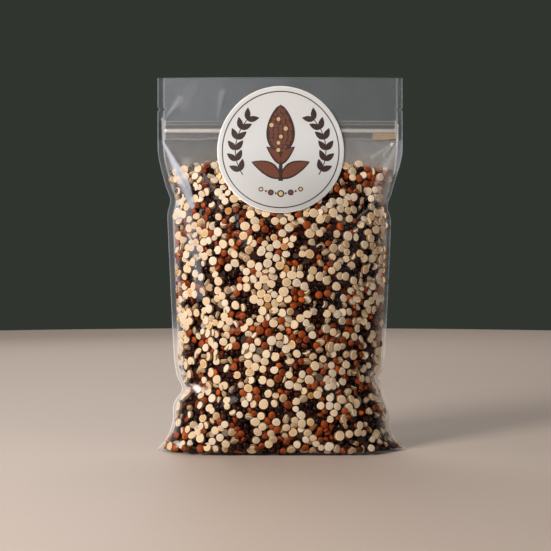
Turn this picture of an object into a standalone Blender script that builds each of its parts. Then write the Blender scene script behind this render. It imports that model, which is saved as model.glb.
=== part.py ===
# Clear stand-up pouch with a press-to-close zip, filled with three-colour quinoa, with a round
# sticker on its front. The pouch and what it holds are one solid, as a shut pack is.
# Metres, +Z up. The front faces -Y, and the origin is the middle of the foot, on the table.
import bpy
import numpy as np

# Driving sizes of the pouch
HEIGHT = 0.197            # foot to top edge
FILM_WIDTH = 0.1302       # width of the empty pouch, edge to edge
REACH = 0.0664            # centre to the tip of a foot corner
SIDE_SEAL = 0.0048        # width of the flat seal down each side
EAR_SEAL_SHARE = 0.60     # the seal's width at the table as a share of that
EAR_SEAL_RISE = 0.007     # height over which it widens
SEAL_HALF = 0.0003        # half thickness of that seal
HEADER_HALF = 0.0005      # how far each film stands off the middle above the zip
HEADER_BOW = 0.0022       # how far the middle of the header bows to the front
FOOT_SHARE = 0.68         # depth at the table as a share of the depth just above
FOOT_RISE = 0.030         # height over which the foot rounds out to its full depth
CLOSE_FROM = 0.118        # height where the films start to close up to the zip
CLOSE_TO = 0.176          # height where they meet
FILL_TOP = 0.151          # level of the quinoa
FILL_ROLL = 0.0009        # how far the film rolls out just below that level
FILL_ROLL_RISE = 0.007
FULLNESS = 0.92           # below 1, the cross-section is fuller than a parabola
FOOT_SQUARE = 5.5         # how much squarer the foot's plan is than the lens above it
FOOT_SQUARE_RISE = 0.014  # height over which that dies out

# Each side's outline: how far it stands from the centre, and what bends it in and out
LEFT = dict(foot=0.0556, chest=0.0611, header=0.0051, dip=0.0017, dip_z=0.132,
            bulge=0.0015, bulge_z=0.024, bulge_rise=0.0052, ear_rise=0.0094,
            pinch=0.0045, pinch_z=0.032, pinch_rise=0.0053)
RIGHT = dict(foot=0.0524, chest=0.0580, header=0.0058, dip=0.0021, dip_z=0.129,
             bulge=0.0025, bulge_z=0.020, bulge_rise=0.0073, ear_rise=0.0086,
             pinch=0.0035, pinch_z=0.038, pinch_rise=0.0031)
CHEST_Z = 0.125           # up to here the sides lean out in a straight line
HEADER_FROM, HEADER_TO = 0.132, 0.160   # where they swing out to the header's width
DIP_RISE = 0.005
SEAL_WAVES = (            # waves of the side seals to front and back:
    (0.140, 0.022, 0.0145, 0.0016),     # middle height, spread, length over 2 pi, size
    (0.034, 0.016, 0.0110, 0.0019),
)
SEAL_WAVE_POWER = 5       # how quickly the waves die out towards the middle

# Tear nicks, zip and sticker
NICK_Z = 0.1804
NICK_HALF = 0.0011
NICK_DEPTH = 0.0013
ZIP_LOW, ZIP_HIGH = 0.1640, 0.1748
GAP = 0.0003              # clearance between neighbouring solids
ZIP_RIBS = (              # height of the middle of each rib, how far it stands out, half width
    (0.1738, 0.00018, 0.0004),
    (0.1723, 0.00035, 0.0005),
    (0.1690, 0.00060, 0.0011),
    (0.1650, 0.00020, 0.0006),
)
ZIP_END_CRUSH = 0.5       # the ends are pressed to this share of their thickness
ZIP_END_POWER = 30
LABEL_X, LABEL_Z = -0.0009, 0.1588
LABEL_RADIUS = 0.0340
LABEL_THICK = 0.0004
LABEL_LIFT = 0.0007       # extra room where the sticker bridges the zip's ribs
LABEL_LIFT_RISE = 0.009

# Folds in the film, as (start x, start z, end x, end z, rise, spread); a groove has a minus rise
FRONT_FOLDS = (
    (-0.0620, 0.163, -0.0450, 0.124, 0.0021, 0.0026),    # left shoulder, from the zip's end
    (-0.0560, 0.153, -0.0385, 0.118, -0.0017, 0.0027),
    (-0.0475, 0.128, -0.0430, 0.084, 0.0012, 0.0038),
    (-0.0400, 0.152, -0.0300, 0.122, 0.0007, 0.0035),
    (0.0600, 0.161, 0.0450, 0.128, 0.0020, 0.0025),      # right shoulder
    (0.0540, 0.156, 0.0390, 0.122, -0.0016, 0.0026),
    (0.0565, 0.141, 0.0450, 0.122, -0.0012, 0.0021),
    (0.0455, 0.128, 0.0430, 0.096, 0.0009, 0.0036),
    (-0.0520, 0.032, -0.0350, 0.033, -0.0026, 0.0032),   # pinches above the foot corners
    (-0.0515, 0.035, -0.0380, 0.056, 0.0013, 0.0034),
    (-0.0515, 0.029, -0.0400, 0.014, 0.0010, 0.0036),
    (0.0500, 0.038, 0.0350, 0.034, -0.0022, 0.0032),
    (0.0500, 0.041, 0.0395, 0.060, 0.0011, 0.0034),
    (0.0500, 0.034, 0.0410, 0.018, 0.0009, 0.0036),
    (-0.0640, 0.003, -0.0500, 0.018, 0.0012, 0.0024),    # ridges up from the foot's tips
    (0.0640, 0.003, 0.0520, 0.016, 0.0012, 0.0024),
)
LUMPS = 70                # soft lumps where the grains press on the film
LUMP_RISE = 0.0008
LUMP_SPREAD = (0.006, 0.011)
LUMP_Z = (0.010, 0.146)
FRONT_SEED, BACK_SEED = 5, 9

# Mesh sizes
INNER_COLUMNS = 35
LABEL_RINGS, LABEL_SPOKES = 6, 56
ZIP_ROWS = 13
SHARP_ANGLE = 50          # degrees, above which an edge is shown sharp

# Colours
QUINOA = (0.227, 0.121, 0.071, 1)
ZIP_PLASTIC = (0.62, 0.60, 0.57, 1)
STICKER = (0.72, 0.68, 0.65, 1)


def clear_scene():
    for thing in list(bpy.data.objects):
        bpy.data.objects.remove(thing, do_unlink=True)


def material(name, colour, roughness):
    """One Principled material in the part's colour."""
    made = bpy.data.materials.new(name)
    made.use_nodes = True
    shader = made.node_tree.nodes["Principled BSDF"]
    shader.inputs["Base Color"].default_value = colour
    shader.inputs["Roughness"].default_value = roughness
    shader.inputs["Metallic"].default_value = 0
    return made


def ease(low, high, value):
    """0 below low, 1 above high and a smooth step between."""
    t = np.clip((value - low) / (high - low), 0, 1)
    return t * t * (3 - 2 * t)


def bell(value, middle, spread):
    return np.exp(-((value - middle) / spread) ** 2)


def leaning_side(z, side):
    """A side's distance from the centre without ears, bulge, dip and pinch."""
    lean = side["foot"] + (side["chest"] - side["foot"]) * np.clip(z / CHEST_Z, 0, 1)
    return lean + side["header"] * ease(HEADER_FROM, HEADER_TO, z)


def side_without_ear(z, side):
    pinch = side["pinch"] / (1 + ((z - side["pinch_z"]) / side["pinch_rise"]) ** 2)
    bulge = side["bulge"] * bell(z, side["bulge_z"], side["bulge_rise"])
    dip = side["dip"] * bell(z, side["dip_z"], DIP_RISE)
    return leaning_side(z, side) + bulge - dip - pinch


def half_width(z, side):
    """A side's outline: it flares to the foot corner, which reaches REACH on the table."""
    ear = REACH - side_without_ear(0.0, side)
    return side_without_ear(z, side) + ear * np.exp(-z / side["ear_rise"])


def seal_width(z):
    return SIDE_SEAL * (1 - (1 - EAR_SEAL_SHARE) * np.exp(-z / EAR_SEAL_RISE))


def half_depth(z):
    """The film can't stretch, so where the sides draw in it bulges by the parabola's rule:
    the rise squared is 3/8 of the chord times the length by which the arc is longer."""
    arc = FILM_WIDTH - 2 * SIDE_SEAL
    held = np.minimum(z, HEADER_FROM)
    chord = leaning_side(held, LEFT) + leaning_side(held, RIGHT) - 2 * SIDE_SEAL
    bulge = np.sqrt(3 / 8 * chord * (arc - chord))
    quarter_turn = np.pi / 2 * np.clip(z / FOOT_RISE, 0, 1)
    foot = FOOT_SHARE + (1 - FOOT_SHARE) * np.sin(quarter_turn)
    return bulge * foot * (1 - ease(CLOSE_FROM, CLOSE_TO, z))


def fold(x, z, x0, z0, x1, z1, rise, spread):
    """A soft ridge along a line, which fades out at both of its ends."""
    dx, dz = x1 - x0, z1 - z0
    along = ((x - x0) * dx + (z - z0) * dz) / (dx * dx + dz * dz)
    t = np.clip(along, 0, 1)
    away = np.hypot(x - x0 - t * dx, z - z0 - t * dz)
    return rise * bell(away, 0, spread) * np.sqrt(np.clip(4 * t * (1 - t), 0, 1))


def lumps(x, z, seed):
    """Low lumps and hollows, spread over the filled part by a seeded draw."""
    draw = np.random.default_rng(seed)
    total = np.zeros_like(x)
    for _ in range(LUMPS):
        lump_x = draw.uniform(-REACH, REACH)
        lump_z = draw.uniform(*LUMP_Z)
        spread = draw.uniform(*LUMP_SPREAD)
        away = np.hypot(x - lump_x, z - lump_z)
        total += LUMP_RISE * draw.uniform(-1, 1) * bell(away, 0, spread)
    return total


def under_label(x, z):
    """1 where the sticker holds the film smooth, fading to 0 just outside its rim."""
    away = np.hypot(x - LABEL_X, z - LABEL_Z)
    return 1 - ease(LABEL_RADIUS + 0.001, LABEL_RADIUS + 0.007, away)


def film_rise(x, across, z, facing):
    """How far the film stands off the middle surface. across runs from -1 to 1 between the side
    seals; facing is -1 for the front and 1 for the back, whose folds lie the other way round."""
    power = 2 + FOOT_SQUARE * np.exp(-z / FOOT_SQUARE_RISE)
    lens = np.clip(1 - np.abs(across) ** power, 0, 1) ** FULLNESS
    rise = HEADER_HALF * lens ** 0.5 + half_depth(z) * lens
    soft = sum(fold(-facing * x, z, *line) for line in FRONT_FOLDS)
    soft = soft + lumps(x, z, FRONT_SEED if facing < 0 else BACK_SEED)
    soft = soft + FILL_ROLL * bell(z, FILL_TOP - FILL_ROLL_RISE, FILL_ROLL_RISE)
    if facing < 0:
        soft = soft * (1 - under_label(x, z))
    off_table = ease(0, 0.004, z)
    off_zip = 1 - ease(ZIP_LOW - 0.006, ZIP_LOW - 0.001, z)
    off_seals = np.clip(1 - across ** 2, 0, 1) ** 0.35
    return rise + soft * off_table * off_zip * off_seals


def middle_y(x, z):
    """The surface halfway between the films: the header bows forward, and the side seals wave."""
    bow = -HEADER_BOW * ease(FILL_TOP, HEIGHT, z) * (1 - (x / REACH) ** 2)
    wave = sum(size * np.sin(z / length) * bell(z, middle, spread)
               for middle, spread, length, size in SEAL_WAVES)
    return bow + wave * np.abs(x / REACH) ** SEAL_WAVE_POWER * np.sign(x)


def spread_columns(count):
    """Positions from -1 to 1, somewhat closer together towards both ends."""
    t = np.linspace(-1, 1, count)
    return 0.62 * t + 0.38 * np.sin(np.pi / 2 * t)


def row_heights():
    """Rows of the pouch from the foot up, closer at the foot, the zip and the tear nicks."""
    foot = np.array([0, 0.0010, 0.0026, 0.0048, 0.0076])
    body = np.linspace(0.0106, ZIP_LOW, 47)
    nick = [NICK_Z - NICK_HALF, NICK_Z, NICK_Z + NICK_HALF]
    header = np.concatenate([[ZIP_HIGH, 0.1770], nick, np.linspace(0.1855, HEIGHT, 4)])
    return np.concatenate([foot, body, header])


def inner_x(across, z):
    """Where a place between the side seals lies."""
    low = seal_width(z) - half_width(z, LEFT)
    high = half_width(z, RIGHT) - seal_width(z)
    return low + (across + 1) / 2 * (high - low)


def film_grid(z, facing):
    """One film as rows of points from the left edge to the right edge."""
    across = spread_columns(INNER_COLUMNS)[None, :]
    rows = z[:, None]
    x = inner_x(across, rows)
    left, right = -half_width(rows, LEFT), half_width(rows, RIGHT)
    nick = NICK_DEPTH * (np.abs(rows - NICK_Z) < NICK_HALF / 2)
    x = np.concatenate([left + nick, x, right - nick], axis=1)
    across = np.concatenate([[[-1.0]], across, [[1.0]]], axis=1) + 0 * x
    rows = rows + 0 * x
    y = middle_y(x, rows) + facing * (SEAL_HALF + film_rise(x, across, rows, facing))
    return np.stack([x, y, rows], axis=-1)


def add_object(name, points, faces, look):
    mesh = bpy.data.meshes.new(name)
    mesh.from_pydata([tuple(p) for p in points], [], faces)
    mesh.validate()
    mesh.shade_smooth()
    mesh.set_sharp_from_angle(angle=np.radians(SHARP_ANGLE))
    mesh.materials.append(look)
    made = bpy.data.objects.new(name, mesh)
    bpy.context.scene.collection.objects.link(made)
    return made


def closed_slab(front, back, window=None):
    """Points and faces of a slab between two grids of the same size. window is (first row, last
    row, first column, last column) of a hole from front to back."""
    rows, columns = front.shape[:2]
    count = rows * columns
    points = np.concatenate([front.reshape(-1, 3), back.reshape(-1, 3)])

    def at(i, j):
        return i * columns + j

    def wall(a, b):
        return (a, b, b + count, a + count)

    faces = []
    for i in range(rows - 1):
        for j in range(columns - 1):
            if window and window[0] <= i < window[1] and window[2] <= j < window[3]:
                continue
            corner = (at(i, j), at(i, j + 1), at(i + 1, j + 1), at(i + 1, j))
            faces.append(corner)
            faces.append(tuple(v + count for v in reversed(corner)))
    for j in range(columns - 1):
        faces.append(wall(at(0, j + 1), at(0, j)))
        faces.append(wall(at(rows - 1, j), at(rows - 1, j + 1)))
    for i in range(rows - 1):
        faces.append(wall(at(i, 0), at(i + 1, 0)))
        faces.append(wall(at(i + 1, columns - 1), at(i, columns - 1)))
    if window:
        i0, i1, j0, j1 = window
        for j in range(j0, j1):
            faces.append(wall(at(i0, j), at(i0, j + 1)))
            faces.append(wall(at(i1, j + 1), at(i1, j)))
        for i in range(i0, i1):
            faces.append(wall(at(i + 1, j0), at(i, j0)))
            faces.append(wall(at(i, j1), at(i + 1, j1)))
        used = sorted({v for face in faces for v in face})
        new_index = {old: new for new, old in enumerate(used)}
        points = points[used]
        faces = [tuple(new_index[v] for v in face) for face in faces]
    return points, faces


def make_pouch():
    """Films, seals and contents as one solid, open from front to back where the zip sits."""
    z = row_heights()
    low = int(np.argmin(np.abs(z - ZIP_LOW)))
    high = int(np.argmin(np.abs(z - ZIP_HIGH)))
    window = (low, high, 1, INNER_COLUMNS)
    points, faces = closed_slab(film_grid(z, -1), film_grid(z, 1), window)
    add_object("pouch", points, faces, material("quinoa_in_film", QUINOA, 0.35))


def rib_rise(z):
    """The zip's ribs stand out of its two faces."""
    return sum(height * bell(z, middle, half) for middle, height, half in ZIP_RIBS)


def make_zip():
    """The two halves of the zip pressed together: a ribbed strip from side seal to side seal."""
    z = np.linspace(ZIP_LOW + GAP, ZIP_HIGH - GAP, ZIP_ROWS)
    across = spread_columns(INNER_COLUMNS)[None, :]
    rows = z[:, None]
    x = inner_x(across, rows)
    room = (x[:, -1:] - x[:, :1]) / 2
    x = x * (room - GAP) / room
    rows = rows + 0 * x
    across = across + 0 * x
    ends = 1 - ZIP_END_CRUSH * np.abs(across) ** ZIP_END_POWER
    grids = []
    for facing in (-1, 1):
        half = (SEAL_HALF + film_rise(x, across, rows, facing) + rib_rise(rows)) * ends
        grids.append(np.stack([x, middle_y(x, rows) + facing * half, rows], axis=-1))
    points, faces = closed_slab(*grids)
    add_object("zip", points, faces, material("zip_plastic", ZIP_PLASTIC, 0.3))


def make_label():
    """A round sticker that follows the front film and bridges the zip's ribs."""
    points, faces = [], []
    for lift in (GAP, GAP + LABEL_THICK):
        for ring in range(LABEL_RINGS + 1):
            radius = LABEL_RADIUS * ring / LABEL_RINGS
            spokes = LABEL_SPOKES if ring else 1
            angle = 2 * np.pi * np.arange(spokes) / spokes
            x = LABEL_X + radius * np.cos(angle)
            z = LABEL_Z + radius * np.sin(angle)
            middle = (half_width(z, RIGHT) - half_width(z, LEFT)) / 2
            across = (x - middle) / (inner_x(1, z) - middle)
            bridge = LABEL_LIFT * bell(z, ZIP_RIBS[2][0], LABEL_LIFT_RISE)
            film = SEAL_HALF + film_rise(x, across, z, -1)
            y = middle_y(x, z) - film - bridge - lift
            points.extend(zip(x, y, z))
    layer = 1 + LABEL_RINGS * LABEL_SPOKES
    for spoke in range(LABEL_SPOKES):
        after = (spoke + 1) % LABEL_SPOKES
        faces.append((0, 1 + after, 1 + spoke))
        faces.append((layer, layer + 1 + spoke, layer + 1 + after))
        for ring in range(LABEL_RINGS - 1):
            start = 1 + ring * LABEL_SPOKES
            a, b = start + spoke, start + after
            c, d = b + LABEL_SPOKES, a + LABEL_SPOKES
            faces.append((a, b, c, d))
            faces.append((layer + d, layer + c, layer + b, layer + a))
        rim = 1 + (LABEL_RINGS - 1) * LABEL_SPOKES
        faces.append((rim + spoke, rim + after, layer + rim + after, layer + rim + spoke))
    add_object("label", points, faces, material("sticker_paper", STICKER, 0.5))


clear_scene()
make_pouch()
make_zip()
make_label()
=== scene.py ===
import bpy
import numpy as np
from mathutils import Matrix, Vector


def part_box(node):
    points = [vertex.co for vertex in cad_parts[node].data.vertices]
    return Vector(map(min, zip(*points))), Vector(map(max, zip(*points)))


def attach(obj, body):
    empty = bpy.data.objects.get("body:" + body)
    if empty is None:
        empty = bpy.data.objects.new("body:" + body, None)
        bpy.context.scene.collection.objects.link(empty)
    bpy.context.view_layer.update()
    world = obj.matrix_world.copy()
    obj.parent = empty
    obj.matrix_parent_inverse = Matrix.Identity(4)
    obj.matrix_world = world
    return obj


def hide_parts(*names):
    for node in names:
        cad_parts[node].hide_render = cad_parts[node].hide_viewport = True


# Zip pouch of quinoa: clear film with heat-sealed sides, a press-to-close zip, the grains inside
# and a round sticker. Metres, +Z up, the front faces -Y.

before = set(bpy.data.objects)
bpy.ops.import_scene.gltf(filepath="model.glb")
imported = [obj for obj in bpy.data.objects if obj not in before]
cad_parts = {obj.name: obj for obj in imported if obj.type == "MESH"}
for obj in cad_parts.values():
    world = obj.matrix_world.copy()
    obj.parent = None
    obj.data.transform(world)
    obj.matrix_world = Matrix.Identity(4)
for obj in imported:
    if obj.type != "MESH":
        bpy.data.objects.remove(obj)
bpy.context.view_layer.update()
pouchLow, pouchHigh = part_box("pouch")
zipLow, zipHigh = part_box("zip")
labelLow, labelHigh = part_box("label")
print("frame loaded")

# The pouch's form, with the same sizes as the solid it replaces
pouch = dict(
    height=pouchHigh.z, reach=(pouchHigh.x - pouchLow.x) / 2,
    filmWidth=0.1302, flatSide=0.0048, footSeal=(0.015, 0.085), headSeal=(0.146, 0.158),
    earSealShare=0.50, earSealRise=0.007,
    sealHalf=0.0003, headerHalf=0.0005, headerBow=0.0022,
    footShare=0.68, footRise=0.030, closeFrom=0.118, closeTo=0.176,
    fillTop=0.151, fillRoll=0.0009, fillRollRise=0.007,
    fullness=0.92, footSquare=5.5, footSquareRise=0.014,
    chestZ=0.125, headerFrom=0.132, headerTo=0.160, dipRise=0.005,
    nickZ=0.1804, footRound=0.0036, footLeast=0.3,
    # where folds and lumps fade out: at the seals, the foot, the zip and the sticker
    fadeSeal=0.35, fadeFoot=0.004, fadeZip=(0.006, 0.001), fadeLabel=(0.001, 0.007),
)
leftSide = dict(foot=0.0556, chest=0.0611, header=0.0051, dip=0.0017, dipZ=0.132,
                bulge=0.0015, bulgeZ=0.024, bulgeRise=0.0052, earRise=0.0094,
                pinch=0.0045, pinchZ=0.032, pinchRise=0.0053,
                seal=dict(foot=0.0019, body=0.0033, head=0.0034), nick=dict(half=0.0011, depth=0.0011))
rightSide = dict(foot=0.0524, chest=0.0580, header=0.0058, dip=0.0021, dipZ=0.129,
                 bulge=0.0025, bulgeZ=0.020, bulgeRise=0.0073, earRise=0.0086,
                 pinch=0.0035, pinchZ=0.038, pinchRise=0.0031,
                 seal=dict(foot=0.0022, body=0.0023, head=0.0031), nick=dict(half=0.0007, depth=0.0012))
# waves of the side seals to front and back: middle height, spread, length over 2 pi, size
sealWaves = ((0.140, 0.022, 0.0145, 0.0016), (0.034, 0.016, 0.0110, 0.0019))
# folds: start x, start z, end x, end z, rise, spread
mainFolds = (
    (-0.0620, 0.163, -0.0450, 0.124, 0.0021, 0.0026),
    (-0.0560, 0.153, -0.0385, 0.118, -0.0017, 0.0027),
    (-0.0475, 0.128, -0.0430, 0.084, 0.0012, 0.0038),
    (-0.0400, 0.152, -0.0300, 0.122, 0.0007, 0.0035),
    (0.0600, 0.161, 0.0450, 0.128, 0.0020, 0.0025),
    (0.0540, 0.156, 0.0390, 0.122, -0.0016, 0.0026),
    (0.0565, 0.141, 0.0450, 0.122, -0.0012, 0.0021),
    (0.0455, 0.128, 0.0430, 0.096, 0.0009, 0.0036),
    (-0.0520, 0.032, -0.0350, 0.033, -0.0026, 0.0032),
    (-0.0515, 0.035, -0.0380, 0.056, 0.0013, 0.0034),
    (-0.0515, 0.029, -0.0400, 0.014, 0.0010, 0.0036),
    (0.0500, 0.038, 0.0350, 0.034, -0.0022, 0.0032),
    (0.0500, 0.041, 0.0395, 0.060, 0.0011, 0.0034),
    (0.0500, 0.034, 0.0410, 0.018, 0.0009, 0.0036),
    (-0.0640, 0.003, -0.0500, 0.018, 0.0012, 0.0024),
    (0.0640, 0.003, 0.0520, 0.016, 0.0012, 0.0024),
)
# small creases that only the film itself shows
fineFolds = (
    (-0.0615, 0.161, -0.0500, 0.144, 0.0005, 0.0009),
    (-0.0610, 0.158, -0.0560, 0.136, -0.0004, 0.0009),
    (0.0585, 0.162, 0.0400, 0.152, 0.0004, 0.0010),
    (0.0585, 0.161, 0.0440, 0.144, 0.0005, 0.0009),
    (0.0590, 0.159, 0.0500, 0.139, -0.0004, 0.0009),
    (0.0520, 0.134, 0.0440, 0.118, 0.0005, 0.0009),
    (-0.0500, 0.033, -0.0420, 0.027, 0.0005, 0.0009),
    (-0.0500, 0.033, -0.0410, 0.040, 0.0006, 0.0010),
    (0.0490, 0.038, 0.0400, 0.047, 0.0005, 0.0009),
    (-0.0640, 0.002, -0.0560, 0.012, 0.0005, 0.0009),
)
headerFolds = (
    (-0.0622, 0.1755, -0.0540, 0.1850, 0.0006, 0.0012),
    (-0.0335, 0.1765, -0.0325, 0.1915, 0.0005, 0.0020),
    (-0.0490, 0.1765, -0.0480, 0.1900, 0.0003, 0.0018),
    (0.0560, 0.1760, 0.0470, 0.1860, 0.0004, 0.0016),
    (0.0400, 0.1765, 0.0380, 0.1900, 0.0002, 0.0025),
)
softLumps = dict(count=70, rise=0.0008, spread=(0.006, 0.011), z=(0.010, 0.146), seeds=(5, 9))
labelPlace = dict(x=(labelLow.x + labelHigh.x) / 2, z=(labelLow.z + labelHigh.z) / 2,
                  radius=(labelHigh.x - labelLow.x) / 2)
zipMargin = 0.0003  # the film lies smooth this far past the zip
zipEdge = dict(low=zipLow.z - zipMargin, high=zipHigh.z + zipMargin)


def ease(low, high, value):  # 0 below low, 1 above high, 3 t squared less 2 t cubed between
    t = np.clip((value - low) / (high - low), 0, 1)
    return t * t * (3 - 2 * t)


def bell(value, middle, spread):  # e to the minus square of the distance over the spread
    return np.exp(-((value - middle) / spread) ** 2)


def leaningSide(z, side):  # straight from the foot to the chest, then eased out to the header
    lean = side["foot"] + (side["chest"] - side["foot"]) * np.clip(z / pouch["chestZ"], 0, 1)
    return lean + side["header"] * ease(pouch["headerFrom"], pouch["headerTo"], z)


def sideWithoutEar(z, side):
    # the leaning side plus a bell low down, less a bell at the chest and less a pinch, which is
    # its size over 1 plus the square of the distance from it
    pinch = side["pinch"] / (1 + ((z - side["pinchZ"]) / side["pinchRise"]) ** 2)
    bulge = side["bulge"] * bell(z, side["bulgeZ"], side["bulgeRise"])
    dip = side["dip"] * bell(z, side["dipZ"], pouch["dipRise"])
    return leaningSide(z, side) + bulge - dip - pinch


def halfWidth(z, side):  # that side plus a flare at the foot corner, which dies away exponentially
    ear = pouch["reach"] - sideWithoutEar(0.0, side)
    return sideWithoutEar(z, side) + ear * np.exp(-z / side["earRise"])


def sealWidth(z, side):
    # eased from the foot's width to the body's and the head's, and halved exponentially at the very
    # foot, because the seals turn away to the back lower down
    seal = side["seal"]
    wide = seal["foot"] + (seal["body"] - seal["foot"]) * ease(*pouch["footSeal"], z)
    wide = wide + (seal["head"] - seal["body"]) * ease(*pouch["headSeal"], z)
    return wide * (1 - (1 - pouch["earSealShare"]) * np.exp(-z / pouch["earSealRise"]))


def halfDepth(z):
    # Film can't stretch: the bulge squared is 3/8 of the chord times what the arc is longer by. It
    # grows from the foot's share by a sine, and is eased to nothing at the zip.
    arc = pouch["filmWidth"] - 2 * pouch["flatSide"]
    held = np.minimum(z, pouch["headerFrom"])
    chord = leaningSide(held, leftSide) + leaningSide(held, rightSide) - 2 * pouch["flatSide"]
    bulge = np.sqrt(3 / 8 * chord * (arc - chord))
    quarterTurn = np.pi / 2 * np.clip(z / pouch["footRise"], 0, 1)
    foot = pouch["footShare"] + (1 - pouch["footShare"]) * np.sin(quarterTurn)
    return bulge * foot * (1 - ease(pouch["closeFrom"], pouch["closeTo"], z))


def fold(x, z, x0, z0, x1, z1, rise, spread):
    # a soft ridge: the bell of the distance from a line, times the root of 4t(1 - t) along it
    dx, dz = x1 - x0, z1 - z0
    t = np.clip(((x - x0) * dx + (z - z0) * dz) / (dx * dx + dz * dz), 0, 1)
    away = np.hypot(x - x0 - t * dx, z - z0 - t * dz)
    return rise * bell(away, 0, spread) * np.sqrt(np.clip(4 * t * (1 - t), 0, 1))


def lumps(x, z, seed):  # the sum of low bells, up and down, at places from a seeded draw
    draw = np.random.default_rng(seed)
    total = np.zeros_like(x)
    for _ in range(softLumps["count"]):
        lumpX = draw.uniform(-pouch["reach"], pouch["reach"])
        lumpZ = draw.uniform(*softLumps["z"])
        spread = draw.uniform(*softLumps["spread"])
        away = np.hypot(x - lumpX, z - lumpZ)
        total += softLumps["rise"] * draw.uniform(-1, 1) * bell(away, 0, spread)
    return total


def underLabel(x, z):  # 1 where the sticker holds the film smooth, eased to 0 over a ring around it
    near, far = pouch["fadeLabel"]
    away = np.hypot(x - labelPlace["x"], z - labelPlace["z"])
    return 1 - ease(labelPlace["radius"] + near, labelPlace["radius"] + far, away)


def lensPower(z):  # the pouch is squarer near its foot
    return 2 + pouch["footSquare"] * np.exp(-z / pouch["footSquareRise"])


def lens(across, z):  # 1 in the middle and 0 at the seals: 1 less across to a power, to another power
    return np.clip(1 - np.abs(across) ** lensPower(z), 0, 1) ** pouch["fullness"]


def filmRise(x, across, z, facing, fine=False):
    # How far the film stands off the middle; across is -1..1 between the seals, facing -1 is front.
    # It is the lens times half the depth, plus folds, lumps and the fill's roll, which fade out.
    bulge = lens(across, z)
    rise = pouch["headerHalf"] * bulge ** 0.5 + halfDepth(z) * bulge
    soft = sum(fold(-facing * x, z, *line) for line in mainFolds)
    soft = soft + lumps(x, z, softLumps["seeds"][0 if facing < 0 else 1])
    rollZ = pouch["fillTop"] - pouch["fillRollRise"]
    soft = soft + pouch["fillRoll"] * bell(z, rollZ, pouch["fillRollRise"])
    if fine:
        soft = soft + sum(fold(-facing * x, z, *line) for line in fineFolds)
    if facing < 0:
        soft = soft * (1 - underLabel(x, z))
    far, near = pouch["fadeZip"]
    offZip = 1 - ease(zipEdge["low"] - far, zipEdge["low"] - near, z)
    offSeals = np.clip(1 - across ** 2, 0, 1) ** pouch["fadeSeal"]
    rise = rise + soft * ease(0, pouch["fadeFoot"], z) * offZip * offSeals
    # the foot's edge turns under on a quarter circle
    under = pouch["footRound"] * (1 - np.sqrt(1 - np.clip(1 - z / pouch["footRound"], 0, 1) ** 2))
    rise = np.maximum(rise - under, pouch["footLeast"] * rise)
    if fine:
        header = sum(fold(-facing * x, z, *line) for line in headerFolds)
        rise = rise + header * offSeals * (1 - underLabel(x, z) * (facing < 0))
    return rise


def middleY(x, z):
    # halfway between the films: the header bows forward as a parabola, and the side seals wave as
    # sines within bells, more towards the edge by the fifth power
    bow = -pouch["headerBow"] * ease(pouch["fillTop"], pouch["height"], z) * (1 - (x / pouch["reach"]) ** 2)
    wave = sum(size * np.sin(z / length) * bell(z, middle, spread)
               for middle, spread, length, size in sealWaves)
    return bow + wave * np.abs(x / pouch["reach"]) ** 5 * np.sign(x)


def innerEdges(z):  # x of the two seals' inner edges
    return (sealWidth(z, leftSide) - halfWidth(z, leftSide),
            halfWidth(z, rightSide) - sealWidth(z, rightSide))


def acrossOf(x, z):  # -1 at the left seal's inner edge, 1 at the right one's, straight between them
    low, high = innerEdges(z)
    return np.clip((x - (low + high) / 2) / ((high - low) / 2), -1, 1)


# Mesh and material helpers


def gridFaces(rows, columns, start=0, wrap=False, flip=False):
    # quads of a grid of points, with the last column joined to the first where it wraps
    i, j = np.meshgrid(np.arange(rows - 1), np.arange(columns - (0 if wrap else 1)), indexing="ij")
    a, b = i * columns + j, i * columns + (j + 1) % columns
    quads = np.stack([a, b, b + columns, a + columns], -1).reshape(-1, 4) + start
    return quads[:, ::-1] if flip else quads


def shellFaces(rows, columns, flip=False):
    # quads around rings of points, and fans of triangles to the two end points that follow them
    spoke = np.arange(columns)
    after = (spoke + 1) % columns
    last, top = rows * columns, (rows - 1) * columns
    fans = np.concatenate([np.stack([after, spoke, np.full(columns, last)], 1),
                           np.stack([top + spoke, top + after, np.full(columns, last + 1)], 1)])
    return [gridFaces(rows, columns, wrap=True, flip=flip), fans[:, ::-1] if flip else fans]


def makePiece(name, points, faces, looks, flat=(), marks=None, lookOf=None):
    # points (n, 3), faces a list of arrays of quads or triangles, of which those numbered in flat
    # aren't smooth, marks {attribute name: values}, lookOf the number of each face's look
    mesh = bpy.data.meshes.new(name)
    corners = np.concatenate([f.ravel() for f in faces]).astype(np.int32)
    sizes = np.concatenate([np.full(len(f), f.shape[1]) for f in faces])
    mesh.vertices.add(len(points))
    mesh.vertices.foreach_set("co", np.asarray(points, np.float32).ravel())
    mesh.loops.add(len(corners))
    mesh.loops.foreach_set("vertex_index", corners)
    mesh.polygons.add(len(sizes))
    starts = np.concatenate([[0], np.cumsum(sizes)[:-1]])
    mesh.polygons.foreach_set("loop_start", starts.astype(np.int32))
    smooth = np.concatenate([np.full(len(f), number not in flat) for number, f in enumerate(faces)])
    mesh.polygons.foreach_set("use_smooth", smooth)
    for look in looks:
        mesh.materials.append(look)
    if lookOf is not None:
        mesh.polygons.foreach_set("material_index", np.asarray(lookOf, np.int32))
    mesh.update(calc_edges=True)
    for mark, values in (marks or {}).items():
        values = np.asarray(values, np.float32)
        kind, field = ("FLOAT", "value") if values.ndim == 1 else ("FLOAT_VECTOR", "vector")
        mesh.attributes.new(mark, kind, "POINT").data.foreach_set(field, values.ravel())
    piece = bpy.data.objects.new(name, mesh)
    bpy.context.scene.collection.objects.link(piece)
    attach(piece, "root")
    return piece


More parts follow.
